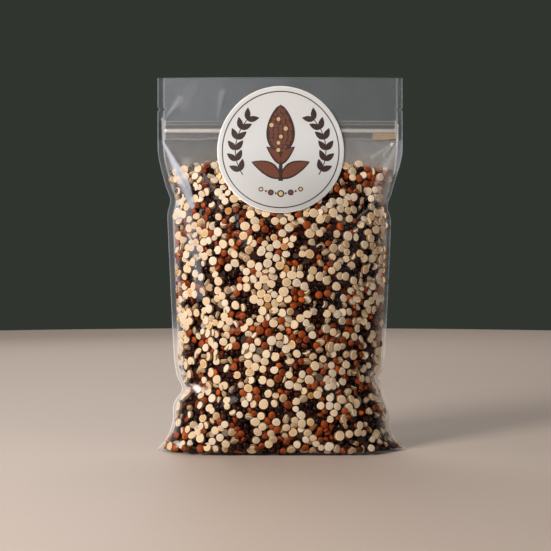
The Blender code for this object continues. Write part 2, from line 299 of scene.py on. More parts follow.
class Wire:  # a node socket whose sums and products add Math nodes
    def __init__(self, finish, socket):
        self.finish, self.socket = finish, socket

    def maths(self, operation, *others):
        return self.finish.node("ShaderNodeMath", dict(operation=operation), [self, *others])

    def __add__(self, other):
        return self.maths("ADD", other)

    def __sub__(self, other):
        return self.maths("SUBTRACT", other)

    def __rsub__(self, other):
        return self.finish.node("ShaderNodeMath", dict(operation="SUBTRACT"), [other, self])

    def __mul__(self, other):
        return self.maths("MULTIPLY", other)

    def __truediv__(self, other):
        return self.maths("DIVIDE", other)

    def __rtruediv__(self, other):
        return self.finish.node("ShaderNodeMath", dict(operation="DIVIDE"), [other, self])

    def __pow__(self, other):
        return self.maths("POWER", other)

    def step(self, low, high):  # 0 to 1, smooth
        return self.finish.node("ShaderNodeMapRange", dict(interpolation_type="SMOOTHSTEP"),
                                {"Value": self, "From Min": low, "From Max": high})

    def band(self, rise, full, fade, gone):  # 1 between full and fade, 0 outside
        return self.step(rise, full) * (1 - self.step(fade, gone))

    __radd__ = __add__
    __rmul__ = __mul__


class Finish:  # one material and the nodes in it
    def __init__(self, name):
        self.material = bpy.data.materials.new(name)
        self.material.use_nodes = True
        self.tree = self.material.node_tree
        self.tree.nodes.clear()

    def node(self, kind, settings=None, inputs=None, output=0):
        made = self.tree.nodes.new(kind)
        for key, value in (settings or {}).items():
            setattr(made, key, value)
        pairs = inputs.items() if isinstance(inputs, dict) else enumerate(inputs or [])
        for key, value in pairs:
            if isinstance(value, Wire):
                self.tree.links.new(value.socket, made.inputs[key])
            elif value is not None:
                made.inputs[key].default_value = value
        return Wire(self, made.outputs[output]) if len(made.outputs) else None

    def mix(self, share, low, high):  # of two colours; sockets 6 and 7 are the colour ones
        low, high = (c if isinstance(c, Wire) else (*c, 1) for c in (low, high))
        return self.node("ShaderNodeMix", dict(data_type="RGBA"), {0: share, 6: low, 7: high}, 2)

    def place(self):
        return self.node("ShaderNodeTexCoord", output="Object")

    def noise(self, scale, detail, place=None):
        return self.node("ShaderNodeTexNoise", None,
                         {"Vector": place or self.place(), "Scale": scale, "Detail": detail})

    def mark(self, name, output="Fac"):  # a piece's own attribute
        return self.node("ShaderNodeAttribute", dict(attribute_name=name), output=output)

    def away(self):  # 0 seen square on, 1 at the rim
        return self.node("ShaderNodeLayerWeight", output="Facing")

    def clear(self, colour):
        return self.node("ShaderNodeBsdfTransparent", None, {"Color": (*colour, 1)})

    def join(self, share, low, high):  # of two shaders
        return self.node("ShaderNodeMixShader", None, [share, low, high])

    def bump(self, height, distance, strength=1.0):
        return self.node("ShaderNodeBump", None,
                         {"Height": height, "Distance": distance, "Strength": strength})

    def solid(self, colour, roughness, normal=None, specular=0.5, metallic=0.0):
        colour = colour if isinstance(colour, Wire) else (*colour, 1)
        return self.node("ShaderNodeBsdfPrincipled", None, {
            "Base Color": colour, "Roughness": roughness, "Normal": normal,
            "Specular IOR Level": specular, "Metallic": metallic})

    def done(self, shader):
        self.node("ShaderNodeOutputMaterial", None, [shader])
        return self.material


# Camera, light and floor

view = dict(distance=0.5837, height=0.0923, aside=-0.0036, focal=1100, frame=551, sensor=0.036, near=0.01)
stage = dict(radius=1.35, rings=(0.0005, 0.3, 0.7, 1.0), turns=96, drop=0.0002, roughness=0.55,
             floorColour=(0.50, 0.405, 0.347), paler=1.05, mottle=9, backdrop=(0.031, 0.036, 0.029))
lights = (  # name, place, aim, size, power, colour
    ("key", (-0.585, -0.55, 0.49), (0, 0, 0.10), (0.27, 0.30), 8.5, (1.0, 0.95, 0.90)),
    ("side", (-0.90, -0.16, 0.40), (0, 0, 0.10), (0.16, 0.46), 1.0, (0.93, 0.93, 1.0)),
    ("right", (0.90, -0.60, 0.40), (0, 0, 0.06), (0.50, 0.60), 2.1, (1.0, 0.97, 0.95)),
    ("behind", (-0.35, 0.80, 0.55), (0, 0, 0.12), (0.80, 0.50), 1.9, (0.95, 0.97, 1.0)),
    ("ceiling", (0, 1.05, 1.25), (0, 0.95, 0), (2.20, 1.10), 13, (1.0, 0.97, 0.94)),
)


def aimAt(thing, place, target):
    thing.location = place
    thing.rotation_euler = (Vector(target) - Vector(place)).to_track_quat("-Z", "Y").to_euler()


def makeFloor():
    # rings around the pouch, each a circle of points, with a small face in the middle
    angle = np.linspace(0, 2 * np.pi, stage["turns"], endpoint=False)
    rings = np.array(stage["rings"])[:, None] * stage["radius"]
    points = np.stack([rings * np.cos(angle), rings * np.sin(angle), 0 * rings * angle - stage["drop"]], -1)
    finish = Finish("pale_floor")
    paler = tuple(c * stage["paler"] for c in stage["floorColour"])
    colour = finish.mix(finish.noise(stage["mottle"], 4), stage["floorColour"], paler)
    mesh = bpy.data.meshes.new("floor")
    quads = gridFaces(len(rings), stage["turns"], wrap=True).tolist()
    mesh.from_pydata(points.reshape(-1, 3).tolist(), [], quads + [list(range(stage["turns"]))[::-1]])
    mesh.materials.append(finish.done(finish.solid(colour, stage["roughness"])))
    floor = bpy.data.objects.new("floor", mesh)
    bpy.context.scene.collection.objects.link(floor)


def makeStage():
    scene = bpy.context.scene
    camera = bpy.data.cameras.new("camera")
    camera.sensor_width = view["sensor"] * 1000
    camera.lens = camera.sensor_width * view["focal"] / view["frame"]
    camera.clip_start = view["near"]
    eye = bpy.data.objects.new("camera", camera)
    scene.collection.objects.link(eye)
    aimAt(eye, (view["aside"], -view["distance"], view["height"]), (view["aside"], 0, view["height"]))
    scene.camera = eye
    for name, place, target, size, power, colour in lights:
        lamp = bpy.data.lights.new(name, "AREA")
        lamp.shape, lamp.size, lamp.size_y = "RECTANGLE", *size
        lamp.energy, lamp.color = power, colour
        holder = bpy.data.objects.new(name, lamp)
        scene.collection.objects.link(holder)
        aimAt(holder, place, target)
        holder.visible_camera = False
    world = bpy.data.worlds.new("studio")
    world.use_nodes = True
    world.node_tree.nodes["Background"].inputs["Color"].default_value = (*stage["backdrop"], 1)
    scene.world = world
    scene.view_settings.view_transform = "Standard"


makeStage()
makeFloor()
print("stage made")

# The film's surface as tables, which the grains are packed against

tableSize = dict(columns=331, rows=493)
tableX = np.linspace(-pouch["reach"], pouch["reach"], tableSize["columns"])
tableZ = np.linspace(0, pouch["height"], tableSize["rows"])


def makeTables():
    # y of both films on a grid of x and z, and their outward normals from its slopes
    x, z = np.meshgrid(tableX, tableZ)
    across, tables = acrossOf(x, z), {}
    for side, facing in (("front", -1), ("back", 1)):
        y = middleY(x, z) + facing * (pouch["sealHalf"] + filmRise(x, across, z, facing))
        alongZ, alongX = np.gradient(y, tableZ, tableX)
        steep = np.sqrt(1 + alongX ** 2 + alongZ ** 2)
        tables[side] = dict(y=y, cosine=1 / steep, nx=-facing * alongX / steep, ny=facing / steep,
                            nz=-facing * alongZ / steep)
    return tables


def sample(table, x, z):  # the four nearest points of a table, weighted by how near each is
    lastCell = 1.001  # keeps a place on the far edge in the last cell
    u = np.clip((x - tableX[0]) / (tableX[1] - tableX[0]), 0, tableSize["columns"] - lastCell)
    v = np.clip((z - tableZ[0]) / (tableZ[1] - tableZ[0]), 0, tableSize["rows"] - lastCell)
    i, j = u.astype(int), v.astype(int)
    u, v = u - i, v - j
    low = table[j, i] * (1 - u) + table[j, i + 1] * u
    high = table[j + 1, i] * (1 - u) + table[j + 1, i + 1] * u
    return low * (1 - v) + high * v


tables = makeTables()
print("film tables made")

# Grains

grainKinds = dict(  # share of the mix, radius, its spread, half thickness over radius
    cream=dict(share=0.340, radius=0.00225, spread=0.11, thick=(0.32, 0.46), form="coin", shade=0.98),
    ivory=dict(share=0.210, radius=0.00218, spread=0.12, thick=(0.32, 0.46), form="coin", shade=0.98),
    tan=dict(share=0.02, radius=0.00204, spread=0.11, thick=(0.36, 0.50), form="coin", shade=0.95),
    red=dict(share=0.20, radius=0.00194, spread=0.12, thick=(0.44, 0.60), form="cushion", shade=0.80),
    black=dict(share=0.245, radius=0.00170, spread=0.13, thick=(0.56, 0.78), form="bead", shade=0.95),
)
packing = dict(
    seed=31, tries=130000, volumeEach=3.45e-8, rounds=70,
    # the layer that grains are drawn in: its depth, and how near film, foot and top it comes
    shell=0.0062, nearest=0.0008, lowest=0.0015, highest=0.003,
    thin=0.0050, corner=(0.049, 0.013),  # where one layer fills the pouch, and the foot's corners
    metric=2.30, overlap=0.96, stiffness=0.45, slots=8,  # of the pushes between grains
    # in each round: held off the film by skin, pressed to it, drawn out of the core, drifting to the
    # seals, and squeezed back from where there is no room
    skin=0.00012, press=0.00006, sink=0.5, drift=0.00006, cornerDrift=4, squeeze=0.0004,
    floorGap=0.0004, floorShare=0.6, topShare=0.3, topLayer=0.0045, topRange=(-0.0006, 0.0014),
    sizes=(0.72, 1.25), room=1.7, cluster=0.42, clusterSize=0.0040, chance=0.8,
    # the shares that lie flat, and flat or leaning; tilts of the flat, the leaning and those on edge
    flatShare=0.66, leanShare=0.90, tilts=(0.24, (0.4, 1.0), (1.1, 1.57)),
    oval=0.05, corners=0.03, wedge=0.10, footGap=0.0005,  # unevenness, and the gap over the foot
    # shade by depth behind a film, by depth under the fill's top, and at the foot
    shade=(0.0001, 0.0009), topLight=0.25, footShade=0.22, footRise=(0.0015, 0.0060),
)
fill = dict(below=0.0024, heaps=((-0.039, 0.010, 0.0020), (0.039, 0.009, 0.0012)),
            fall=0.0028, fallSpan=(0.044, 0.063), ripple=0.0005, rippleLength=0.0048)


def fillLevel(x):
    # the top of the quinoa: a bell on each side of the sticker, lower at the seals, with a small sine
    heaps = sum(height * bell(x, middle, spread) for middle, spread, height in fill["heaps"])
    fall = fill["fall"] * ease(*fill["fallSpan"], np.abs(x))
    ripple = fill["ripple"] * np.sin(x / fill["rippleLength"] + 1)
    return pouch["fillTop"] - fill["below"] + heaps - fall + ripple


def patches(draw, place, size):  # a smooth field of about unit size, the sum of random cosines
    waves = 40
    turn = draw.normal(size=(waves, 3)) / size
    shift = draw.uniform(0, 2 * np.pi, waves)
    return np.cos(place @ turn.T + shift).sum(1) * np.sqrt(2 / waves)


def depthInside(place):  # how far inside the front and the back film, square to each
    front, back = tables["front"], tables["back"]
    x, y, z = place.T
    gapFront = (y - sample(front["y"], x, z)) * sample(front["cosine"], x, z)
    gapBack = (sample(back["y"], x, z) - y) * sample(back["cosine"], x, z)
    return gapFront, gapBack


def drawPlaces(draw):  # random places in the layer just inside the film and under the fill's top
    low = np.array([-pouch["reach"], pouchLow.y, packing["lowest"]])
    high = np.array([pouch["reach"], pouchHigh.y, pouch["fillTop"] + packing["highest"]])
    tries = low + (high - low) * draw.uniform(size=(packing["tries"], 3))
    gapFront, gapBack = depthInside(tries)
    under = fillLevel(tries[:, 0]) - tries[:, 2]
    nearest = np.minimum(np.minimum(gapFront, gapBack), under)
    inside = (nearest > packing["nearest"]) & (nearest < packing["shell"])
    count = int(inside.mean() * np.prod(high - low) / packing["volumeEach"])
    # twice as many where the pouch holds one layer only, and in the foot's corners
    more = tries[inside][count:2 * count]
    thin = (gapFront + gapBack)[inside][count:2 * count] < packing["thin"]
    corner = (np.abs(more[:, 0]) > packing["corner"][0]) & (more[:, 2] < packing["corner"][1])
    return np.concatenate([tries[inside][:count], more[thin | corner]])


def pushApart(place, radius):
    # each grain is pushed off those nearer than their radii; y counts for more, as grains lie flat
    metric = np.array([1, packing["metric"], 1])
    stretched = place * metric
    size = 2 * radius.max() * packing["overlap"]
    cell = np.floor((stretched - stretched.min(0)) / size).astype(int) + 1
    shape = cell.max(0) + 2
    # the grains of each cell of a coarse grid, so that only near ones are compared
    number = np.ravel_multi_index(cell.T, shape)
    order = np.argsort(number, kind="stable")
    ranks = np.arange(len(order)) - np.searchsorted(number[order], number[order])
    table = np.full((np.prod(shape), packing["slots"]), -1)
    kept = ranks < packing["slots"]
    table[number[order][kept], ranks[kept]] = order[kept]
    steps = np.stack(np.meshgrid(*[[-1, 0, 1]] * 3, indexing="ij"), -1).reshape(-1, 3)
    itself = np.arange(len(place))[:, None]
    push = np.zeros_like(place)
    for step in steps:
        near = table[np.ravel_multi_index((cell + step).T, shape)]
        safe = np.maximum(near, 0)
        apart = stretched[:, None] - stretched[safe]
        far = np.linalg.norm(apart, axis=-1) + 1e-9
        want = (radius[:, None] + radius[safe]) * packing["overlap"]
        short = np.where((near >= 0) & (near != itself), np.maximum(want - far, 0), 0)
        push += (apart * (short / far)[..., None]).sum(1)
    return push * packing["stiffness"] / metric


def holdInside(place, need, top):
    # moves grains off the films, the seals, the table and the fill's top, and out of the core, and
    # lets them drift towards the seals by the fourth power of how far across they are
    x, y, z = place.T.copy()
    drift = packing["drift"] * (1 + packing["cornerDrift"] * bell(z, 0, packing["corner"][1]))
    x = x + drift * np.sign(x) * acrossOf(x, z) ** 4
    lowest = packing["floorGap"] + packing["floorShare"] * need
    z = np.clip(z, lowest, fillLevel(x) + top - packing["topShare"] * need)
    front, back = tables["front"], tables["back"]
    yFront, yBack = sample(front["y"], x, z), sample(back["y"], x, z)
    cosFront, cosBack = sample(front["cosine"], x, z), sample(back["cosine"], x, z)
    room = (yBack - yFront) - need / cosFront - need / cosBack
    low, high = innerEdges(z)
    x = x + np.where(room < 0, -packing["squeeze"] * np.sign(x - (low + high) / 2), 0)
    frontLimit, backLimit = yFront + need / cosFront, yBack - need / cosBack
    middle = (frontLimit + backLimit) / 2
    outward = np.where(y < middle, frontLimit - y, backLimit - y)
    under = fillLevel(x) - z
    deep = np.maximum(np.minimum(np.abs(outward) * cosFront, under) - packing["shell"] + need, 0)
    # grains lean on the nearer film, but those under the fill's top rise to it instead
    atTop = (under < packing["topLayer"]) & (np.abs(outward) > packing["thin"] / 2)
    lean = np.where(atTop, 0, np.minimum(packing["press"], np.abs(outward)))
    y = y + np.sign(outward) * (lean + packing["sink"] * deep)
    z = z + packing["press"] * atTop
    y = np.where(room < 0, middle, np.clip(y, frontLimit, backLimit))
    return np.stack([x, y, z], 1)


def packGrains():
    # kinds are drawn in clusters, then the grains push each other apart until they fill the layer
    draw = np.random.default_rng(packing["seed"])
    place = drawPlaces(draw)
    count, names = len(place), list(grainKinds)
    liking = np.stack([np.log(grainKinds[name]["share"]) + packing["cluster"] *
                       patches(draw, place, packing["clusterSize"]) for name in names])
    kind = np.argmax(liking + draw.gumbel(size=liking.shape) * packing["chance"], axis=0)

    def ofKind(key):
        return np.array([grainKinds[name][key] for name in names])[kind]

    sizes = np.clip(1 + ofKind("spread") * draw.normal(size=count), *packing["sizes"])
    radius = ofKind("radius") * sizes
    thin, thick = ofKind("thick").T
    half = radius * draw.uniform(thin, thick)
    lying = draw.uniform(size=count)
    flatSpread, leanRange, edgeRange = packing["tilts"]
    flat = np.abs(draw.normal(0, flatSpread, count))
    leaning, onEdge = draw.uniform(*leanRange, count), draw.uniform(*edgeRange, count)
    tilt = np.where(lying < packing["flatShare"], flat,
                    np.where(lying < packing["leanShare"], leaning, onEdge))
    need = packing["skin"] + np.hypot(half * np.cos(tilt), radius * np.sin(tilt))
    top = draw.uniform(*packing["topRange"], count)
    for _ in range(packing["rounds"]):
        place = holdInside(place + pushApart(place, radius), need, top)
    fits = np.sum(depthInside(place), 0) > packing["room"] * need
    print("  left out where the film has no room:", int(count - fits.sum()))
    return dict(place=place[fits], kind=kind[fits], radius=radius[fits], half=half[fits],
                tilt=tilt[fits], need=need[fits], names=names)


def unit(vectors):  # each divided by its length
    return vectors / np.linalg.norm(vectors, axis=1, keepdims=True)


def grainAxes(grains):
    # a grain's up is the nearer film's normal times its tilt's cosine, plus a random sideways
    # direction times its sine; its other two axes are square to that
    draw = np.random.default_rng(packing["seed"] + 1)
    x, _, z = grains["place"].T
    gapFront, gapBack = depthInside(grains["place"])
    normal = np.stack([np.where(gapFront < gapBack, sample(tables["front"][axis], x, z),
                                sample(tables["back"][axis], x, z)) for axis in ("nx", "ny", "nz")], 1)
    side = unit(np.cross(normal, draw.normal(size=normal.shape)))
    tilt = grains["tilt"][:, None]
    up = unit(normal * np.cos(tilt) + side * np.sin(tilt))
    along = unit(np.cross(up, draw.normal(size=normal.shape)))
    return along, np.cross(up, along), up, np.minimum(gapFront, gapBack)


def liftLowest(grains, up):  # the lowest grains are lifted onto the foot, by how tall they stand
    tall = grains["half"] * np.abs(up[:, 2]) + grains["radius"] * np.sqrt(1 - up[:, 2] ** 2)
    grains["place"][:, 2] = np.maximum(grains["place"][:, 2], packing["footGap"] + tall)


def grainShade(grains, gap):
    # 0 against a film or near the fill's top, where light reaches further down, and 1 behind the
    # outer grains; the foot is a little shaded too
    x, _, z = grains["place"].T
    under = packing["topLight"] * (fillLevel(x) - z) + grains["need"]
    most = np.array([grainKinds[name]["shade"] for name in grains["names"]])[grains["kind"]]
    shade = most * ease(*packing["shade"], np.minimum(gap, under) - grains["need"])
    return np.maximum(shade, packing["footShade"] * (1 - ease(*packing["footRise"], z)))


# a grain is turned from a half profile of (radius, height) shares
grainForms = dict(coin=((0.86, 1.0), (1.0, 0.52), (1.0, -0.52), (0.86, -1.0)),
                  cushion=((0.72, 0.97), (0.98, 0.52), (0.98, -0.52), (0.72, -0.97)),
                  bead=((0.55, 0.93), (0.94, 0.50), (0.94, -0.50), (0.55, -0.93)))
grainSpokes = 11


def grainShape(form):
    # points and faces of one grain of radius and half thickness 1: its half profile carried round
    # in a circle, with a point in the middle of each side
    profile = np.array(grainForms[form])
    angle = np.linspace(0, 2 * np.pi, grainSpokes, endpoint=False)
    rings = np.stack([profile[:, :1] * np.cos(angle), profile[:, :1] * np.sin(angle),
                      np.repeat(profile[:, 1:], grainSpokes, 1)], -1).reshape(-1, 3)
    points = np.concatenate([rings, [[0, 0, 1.0]], [[0, 0, -1.0]]])
    return points, shellFaces(len(profile), grainSpokes, flip=True)


def makeGrains(grains, looks):
    # every grain is the shape of its kind, with a rim that swells by cosines of two and three times
    # the angle, thicker on one side, turned to its axes and moved to its place
    draw = np.random.default_rng(packing["seed"] + 2)
    along, over, up, gap = grainAxes(grains)
    liftLowest(grains, up)
    shade = grainShade(grains, gap)
    for index, name in enumerate(grains["names"]):
        form = grainKinds[name]["form"]
        shape, formFaces = grainShape(form)
        angle = np.arctan2(shape[:, 1], shape[:, 0])
        chosen = grains["kind"] == index
        count = int(chosen.sum())
        rim = 1
        for size, times in ((packing["oval"], 2), (packing["corners"], 3)):
            swell = size * draw.normal(size=(count, 1))
            rim = rim + swell * np.cos(times * angle + draw.uniform(0, 2 * np.pi, (count, 1)))
        heights = 1 + draw.normal(0, packing["wedge"], (count, 2)) @ shape[:, :2].T
        radius, half = grains["radius"][chosen][:, None], grains["half"][chosen][:, None]
        local = np.stack([shape[:, 0] * rim * radius, shape[:, 1] * rim * radius,
                          shape[:, 2] * heights * half], -1)
        axes = np.stack([along[chosen], over[chosen], up[chosen]], 1)
        points = np.einsum("gvk,gkc->gvc", local, axes) + grains["place"][chosen][:, None]
        starts = (np.arange(count) * len(shape))[:, None, None]
        faces = [(part[None] + starts).reshape(-1, part.shape[1]) for part in formFaces]
        marks = dict(place=np.tile(shape, (count, 1)), shade=np.repeat(shade[chosen], len(shape)),
                     tone=np.repeat(draw.uniform(size=count), len(shape)))
        piece = makePiece("quinoa_" + name, points.reshape(-1, 3), faces, [looks[name]],
                          flat=(1,) if form == "coin" else (), marks=marks)
        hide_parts("pouch")
        "quinoa_" + (name if name in ("red", "black") else "cream")
        print("  ", name, count, "grains")


grainColours = dict(  # the face from light to deep, a few odd ones, its ring, a dark tint for its groove, its germ and the painted shade at its rim, and its side wall, its own tan darkened as painted shade
    cream=dict(light=(0.81, 0.61, 0.39), deep=(0.77, 0.56, 0.34), odd=(0.70, 0.45, 0.21),
               ring=(0.90, 0.74, 0.54), edge=(0.13, 0.030, 0.005), wall=(0.48, 0.28, 0.12)),
    ivory=dict(light=(0.83, 0.69, 0.52), deep=(0.78, 0.61, 0.43), odd=(0.72, 0.57, 0.40),
               ring=(0.91, 0.79, 0.63), edge=(0.13, 0.034, 0.007), wall=(0.48, 0.31, 0.15)),
    tan=dict(light=(0.56, 0.26, 0.09), deep=(0.44, 0.17, 0.05), odd=(0.62, 0.36, 0.15),
             ring=(0.70, 0.40, 0.16), edge=(0.05, 0.012, 0.003), wall=(0.30, 0.11, 0.03)),
    red=dict(light=(0.40, 0.078, 0.015), deep=(0.07, 0.012, 0.005), odd=(0.55, 0.100, 0.010),
             ring=(0.50, 0.115, 0.030), edge=(0.03, 0.004, 0.001), wall=(0.14, 0.018, 0.004)),
    black=dict(light=(0.018, 0.003, 0.001), deep=(0.008, 0.001, 0.0005), odd=(0.055, 0.014, 0.008),
               ring=(0.020, 0.006, 0.004), edge=(0.006, 0.0008, 0.0003), wall=(0.008, 0.0015, 0.0007)),
)
# roughness and specular level
grainGloss = dict(cream=(0.5, 0.05), ivory=(0.5, 0.05), tan=(0.5, 0.05), red=(0.28, 0.10),
                  black=(0.09, 0.15))
ringShare = dict(coin=0.75, cushion=0.45, bead=0.5)
# where its parts lie: distance from the middle over the radius, height over the half thickness, and
# the tones, from 0 to 1, of the few grains that show a germ or an odd colour
grainZones = dict(
    rim=(0.63, 0.73), groove=(0.56, 0.64, 0.66, 0.72), germ=(0.14, -0.06, 0), germEdge=(0.06, 0.16),
    germTones=(0.88, 0.90, 0.93, 0.95), oddTones=(0.85, 0.90), wall=(0.90, 0.94), wallUp=(0.42, 0.56),
    # the edge zone is painted shade: a dark outline on the outer bevel for the contact shadow between grains
    edge=(0.862, 0.948), edgeUp=(0.40, 0.52), slope=(0.82, 0.95))
# edge is how strongly that painted shade at the rim is laid on
grainMix = dict(tone=0.80, speckle=0.25, groove=0.10, germ=0.45, edge=0.94)
grainRelief = dict(rim=0.5, slope=1.1, groove=0.2, speckle=0.2, germ=0.6, dome=2.6, deep=0.00012,
                   strength=0.8, speckleScale=900)
shadeTints = dict(span=(0.2, 0.9), first=(0.19, 0.052, 0.010), deep=(0.021, 0.0011, 0.0002))


def grainFinish(name):
    tints, zones, parts, relief = grainColours[name], grainZones, grainMix, grainRelief
    roughness, specular = grainGloss[name]
    finish = Finish("quinoa_" + name)
    place = finish.mark("place", "Vector")
    flat = finish.node("ShaderNodeVectorMath", dict(operation="MULTIPLY"), [place, (1, 1, 0)])
    outFrom = finish.node("ShaderNodeVectorMath", dict(operation="LENGTH"), [flat], "Value")
    up = finish.node("ShaderNodeSeparateXYZ", None, [place], "Z").maths("ABSOLUTE")
    tone, shade, speckle = finish.mark("tone"), finish.mark("shade"), finish.noise(relief["speckleScale"], 3)
    rim, groove = outFrom.step(*zones["rim"]), outFrom.band(*zones["groove"])
    away = finish.node("ShaderNodeVectorMath", dict(operation="DISTANCE"), [flat, zones["germ"]], "Value")
    germ = (1 - away.step(*zones["germEdge"])) * tone.band(*zones["germTones"])
    # the side wall in its own tan darkened as painted shade, and a dark outline on the outer bevel as
    # painted shade for the contact shadow between grains
    wall = (1 - up.step(*zones["wallUp"])) * outFrom.step(*zones["wall"])
    edge = outFrom.step(*zones["edge"]) * up.step(*zones["edgeUp"])
    colour = finish.mix(tone * parts["tone"] + speckle * parts["speckle"], tints["light"], tints["deep"])
    colour = finish.mix(tone.step(*zones["oddTones"]), colour, tints["odd"])
    colour = finish.mix(rim * ringShare[grainKinds[name]["form"]], colour, tints["ring"])
    colour = finish.mix(groove * parts["groove"] + germ * parts["germ"], colour, tints["edge"])
    # painted shade on the side wall and at the rim
    colour = finish.mix(wall, colour, tints["wall"])
    colour = finish.mix(edge * parts["edge"], colour, tints["edge"])
    # grains deeper in the pouch lie in shade, which is warm at first and then nearly black
    dark = finish.mix(shade.step(*shadeTints["span"]), shadeTints["first"], shadeTints["deep"])
    colour = finish.mix(shade, colour, dark)
    height = rim * relief["rim"] - outFrom.step(*zones["slope"]) * relief["slope"]
    height = height - groove * relief["groove"] + speckle * relief["speckle"] - germ * relief["germ"]
    height = height - outFrom * outFrom * relief["dome"]
    normal = finish.bump(height, relief["deep"], relief["strength"])
    return finish.done(finish.solid(colour, roughness, normal, specular))


grains = packGrains()
print("grains packed:", len(grains["place"]))
makeGrains(grains, {name: grainFinish(name) for name in grainKinds})

# The core behind the grains, dark as painted shade for the fill's hidden depth

core = dict(depth=0.0060, aside=0.0068, foot=0.0032, under=0.0105, rows=60, columns=90,
            mostShare=0.98, round=6, mottle=(0.35, 0.65), scale=420, deep=0.001, roughness=0.8, specular=0.1,
            # near black: painted shade where no light reaches inside the fill
            colours=((0.006, 0.001, 0.0004), (0.030, 0.007, 0.002)))


def makeCore():
    # rings of the pouch's own lens, one at each height, drawn in from the film by the core's depth
    z = np.linspace(core["foot"], pouch["fillTop"] - core["under"], core["rows"])[:, None]
    turn = np.linspace(0, 2 * np.pi, core["columns"], endpoint=False)[None, :]
    low, high = innerEdges(z)
    share = np.clip(core["depth"] / (halfDepth(z) + pouch["headerHalf"]), 0, core["mostShare"])
    reach = (1 - share ** (1 / pouch["fullness"])) ** (1 / lensPower(z))
    reach = np.minimum(reach, 1 - core["aside"] / ((high - low) / 2))
    across = reach * np.cos(turn)
    x = (low + high) / 2 + across * (high - low) / 2
    rise = np.maximum(halfDepth(z) * lens(across, z) - core["depth"], 0)
    rise = rise * np.clip(np.abs(np.sin(turn)) * core["round"], 0, 1)
    facing = np.where(np.sin(turn) < 0, -1, 1)
    points = np.stack([x, middleY(x, z) + facing * rise, z + 0 * x], -1)
    points = np.concatenate([points.reshape(-1, 3), [points[0].mean(0), points[-1].mean(0)]])
    finish = Finish("quinoa_core_painted_shade")
    mottle = finish.noise(core["scale"], 3)
    # painted shade: a near-black mottle for the grains deep in the fill
    colour = finish.mix(mottle.step(*core["mottle"]), *core["colours"])
    normal = finish.bump(mottle, core["deep"])
    look = finish.solid(colour, core["roughness"], normal, core["specular"])
    faces = shellFaces(core["rows"], core["columns"])
    piece = makePiece("quinoa_core", points, faces, [finish.done(look)])
    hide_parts("pouch")


makeCore()
print("core made")

# Film

film = dict(columns=161, sealColumns=9, rows=236, rowPower=1.06, footRows=9, footHollow=0.0003,
            pressRise=0.00022, pressReach=0.0017, pressCells=12, contact=0.0006, edgeTaper=0.00035,
            sealLines=((0.27, 0.00007), (0.60, 0.00006), (0.91, 0.00009)), sealLineHalf=0.065,
            sealLineEnd=(1.0, 1.4), footMilk=0.03, topMilk=0.20)
# painted reflections of the lamps along creases and the seals' edges, laid into the film's haze as whitened
# film: x, z and half width at both ends, strength
paintedCreaseSheens = (
    (-0.0630, 0.1626, 0.0004, -0.0522, 0.1414, 0.0031, 0.54),
    (-0.0522, 0.1414, 0.0031, -0.0476, 0.1287, 0.0018, 0.46),
    (-0.0560, 0.1330, 0.0010, -0.0545, 0.1215, 0.0018, 0.22),
    (-0.0500, 0.1250, 0.0026, -0.0468, 0.1050, 0.0036, 0.15),
    (-0.0460, 0.1040, 0.0028, -0.0430, 0.0820, 0.0026, 0.12),
    (-0.0620, 0.1757, 0.0002, -0.0545, 0.1855, 0.0022, 0.15),
    (-0.0343, 0.1763, 0.0004, -0.0318, 0.1895, 0.0016, 0.14),
    (-0.0530, 0.1830, 0.0030, -0.0480, 0.1915, 0.0030, 0.04),
    (-0.0500, 0.0330, 0.0004, -0.0395, 0.0335, 0.0012, 0.30),
    (-0.0560, 0.0560, 0.0006, -0.0520, 0.0380, 0.0010, 0.28),
    (0.0607, 0.1626, 0.0003, 0.0558, 0.1488, 0.0028, 0.24),
    (0.0609, 0.1626, 0.0003, 0.0592, 0.1460, 0.0004, 0.40),
    (0.0560, 0.1480, 0.0026, 0.0530, 0.1330, 0.0034, 0.24),
    (0.0585, 0.1621, 0.0002, 0.0475, 0.1547, 0.0013, 0.20),
    (0.0585, 0.1616, 0.0002, 0.0535, 0.1560, 0.0005, 0.20),
    (0.0508, 0.1446, 0.0012, 0.0473, 0.1305, 0.0010, 0.26),
    (0.0534, 0.1371, 0.0002, 0.0468, 0.1287, 0.0004, 0.42),
    (0.0464, 0.1283, 0.0004, 0.0389, 0.1221, 0.0003, 0.24),
    (0.0536, 0.1240, 0.0006, 0.0545, 0.1060, 0.0009, 0.16),
    (0.0480, 0.0395, 0.0008, 0.0400, 0.0450, 0.0006, 0.16),
    (-0.0637, 0.1755, 0.0005, -0.0632, 0.1625, 0.0006, 0.42),
    (0.0612, 0.1724, 0.0004, 0.0611, 0.1640, 0.0005, 0.50),
)
# small bright glints: x, z and half width at both ends, strength
glints = (
    (-0.0455, 0.0338, 0.0017, -0.0443, 0.0330, 0.0019, 1.0),
    (-0.0490, 0.0352, 0.0003, -0.0455, 0.0338, 0.0009, 0.5),
    (-0.0550, 0.0042, 0.0008, -0.0540, 0.0046, 0.0013, 0.40),
    (0.0583, 0.1619, 0.0006, 0.0578, 0.1617, 0.0007, 0.7),
    (-0.0463, 0.1000, 0.0004, -0.0462, 0.0996, 0.0004, 0.6),
    (-0.0452, 0.0976, 0.0003, -0.0451, 0.0972, 0.0003, 0.6),
)
# tints of the film's haze: cool is a painted reflection of cool surroundings, warm is painted light thrown
# back from the grains, white is for the painted glints
milkTints = dict(cool=(0.69, 0.74, 0.86), warm=(0.88, 0.79, 0.68), plain=(0.85, 0.81, 0.77),
                 pale=(0.96, 0.92, 0.88), white=(1.0, 0.98, 0.95))
# painted sheen where the film curves away: veils over the grains along the seals, with reach, strength,
# share of warm tint; the sines that make them uneven are waves along z, waves along x, size
veils = dict(left=(0.0024, 0.24, 0.45), right=(0.0034, 0.36, 0.95))
veilWaves = ((1 / 0.0043, 0, 0.20), (1 / 0.0017, 1 / 0.003, 0.15))
veilMiddle, veilWarm = 0.80, 6
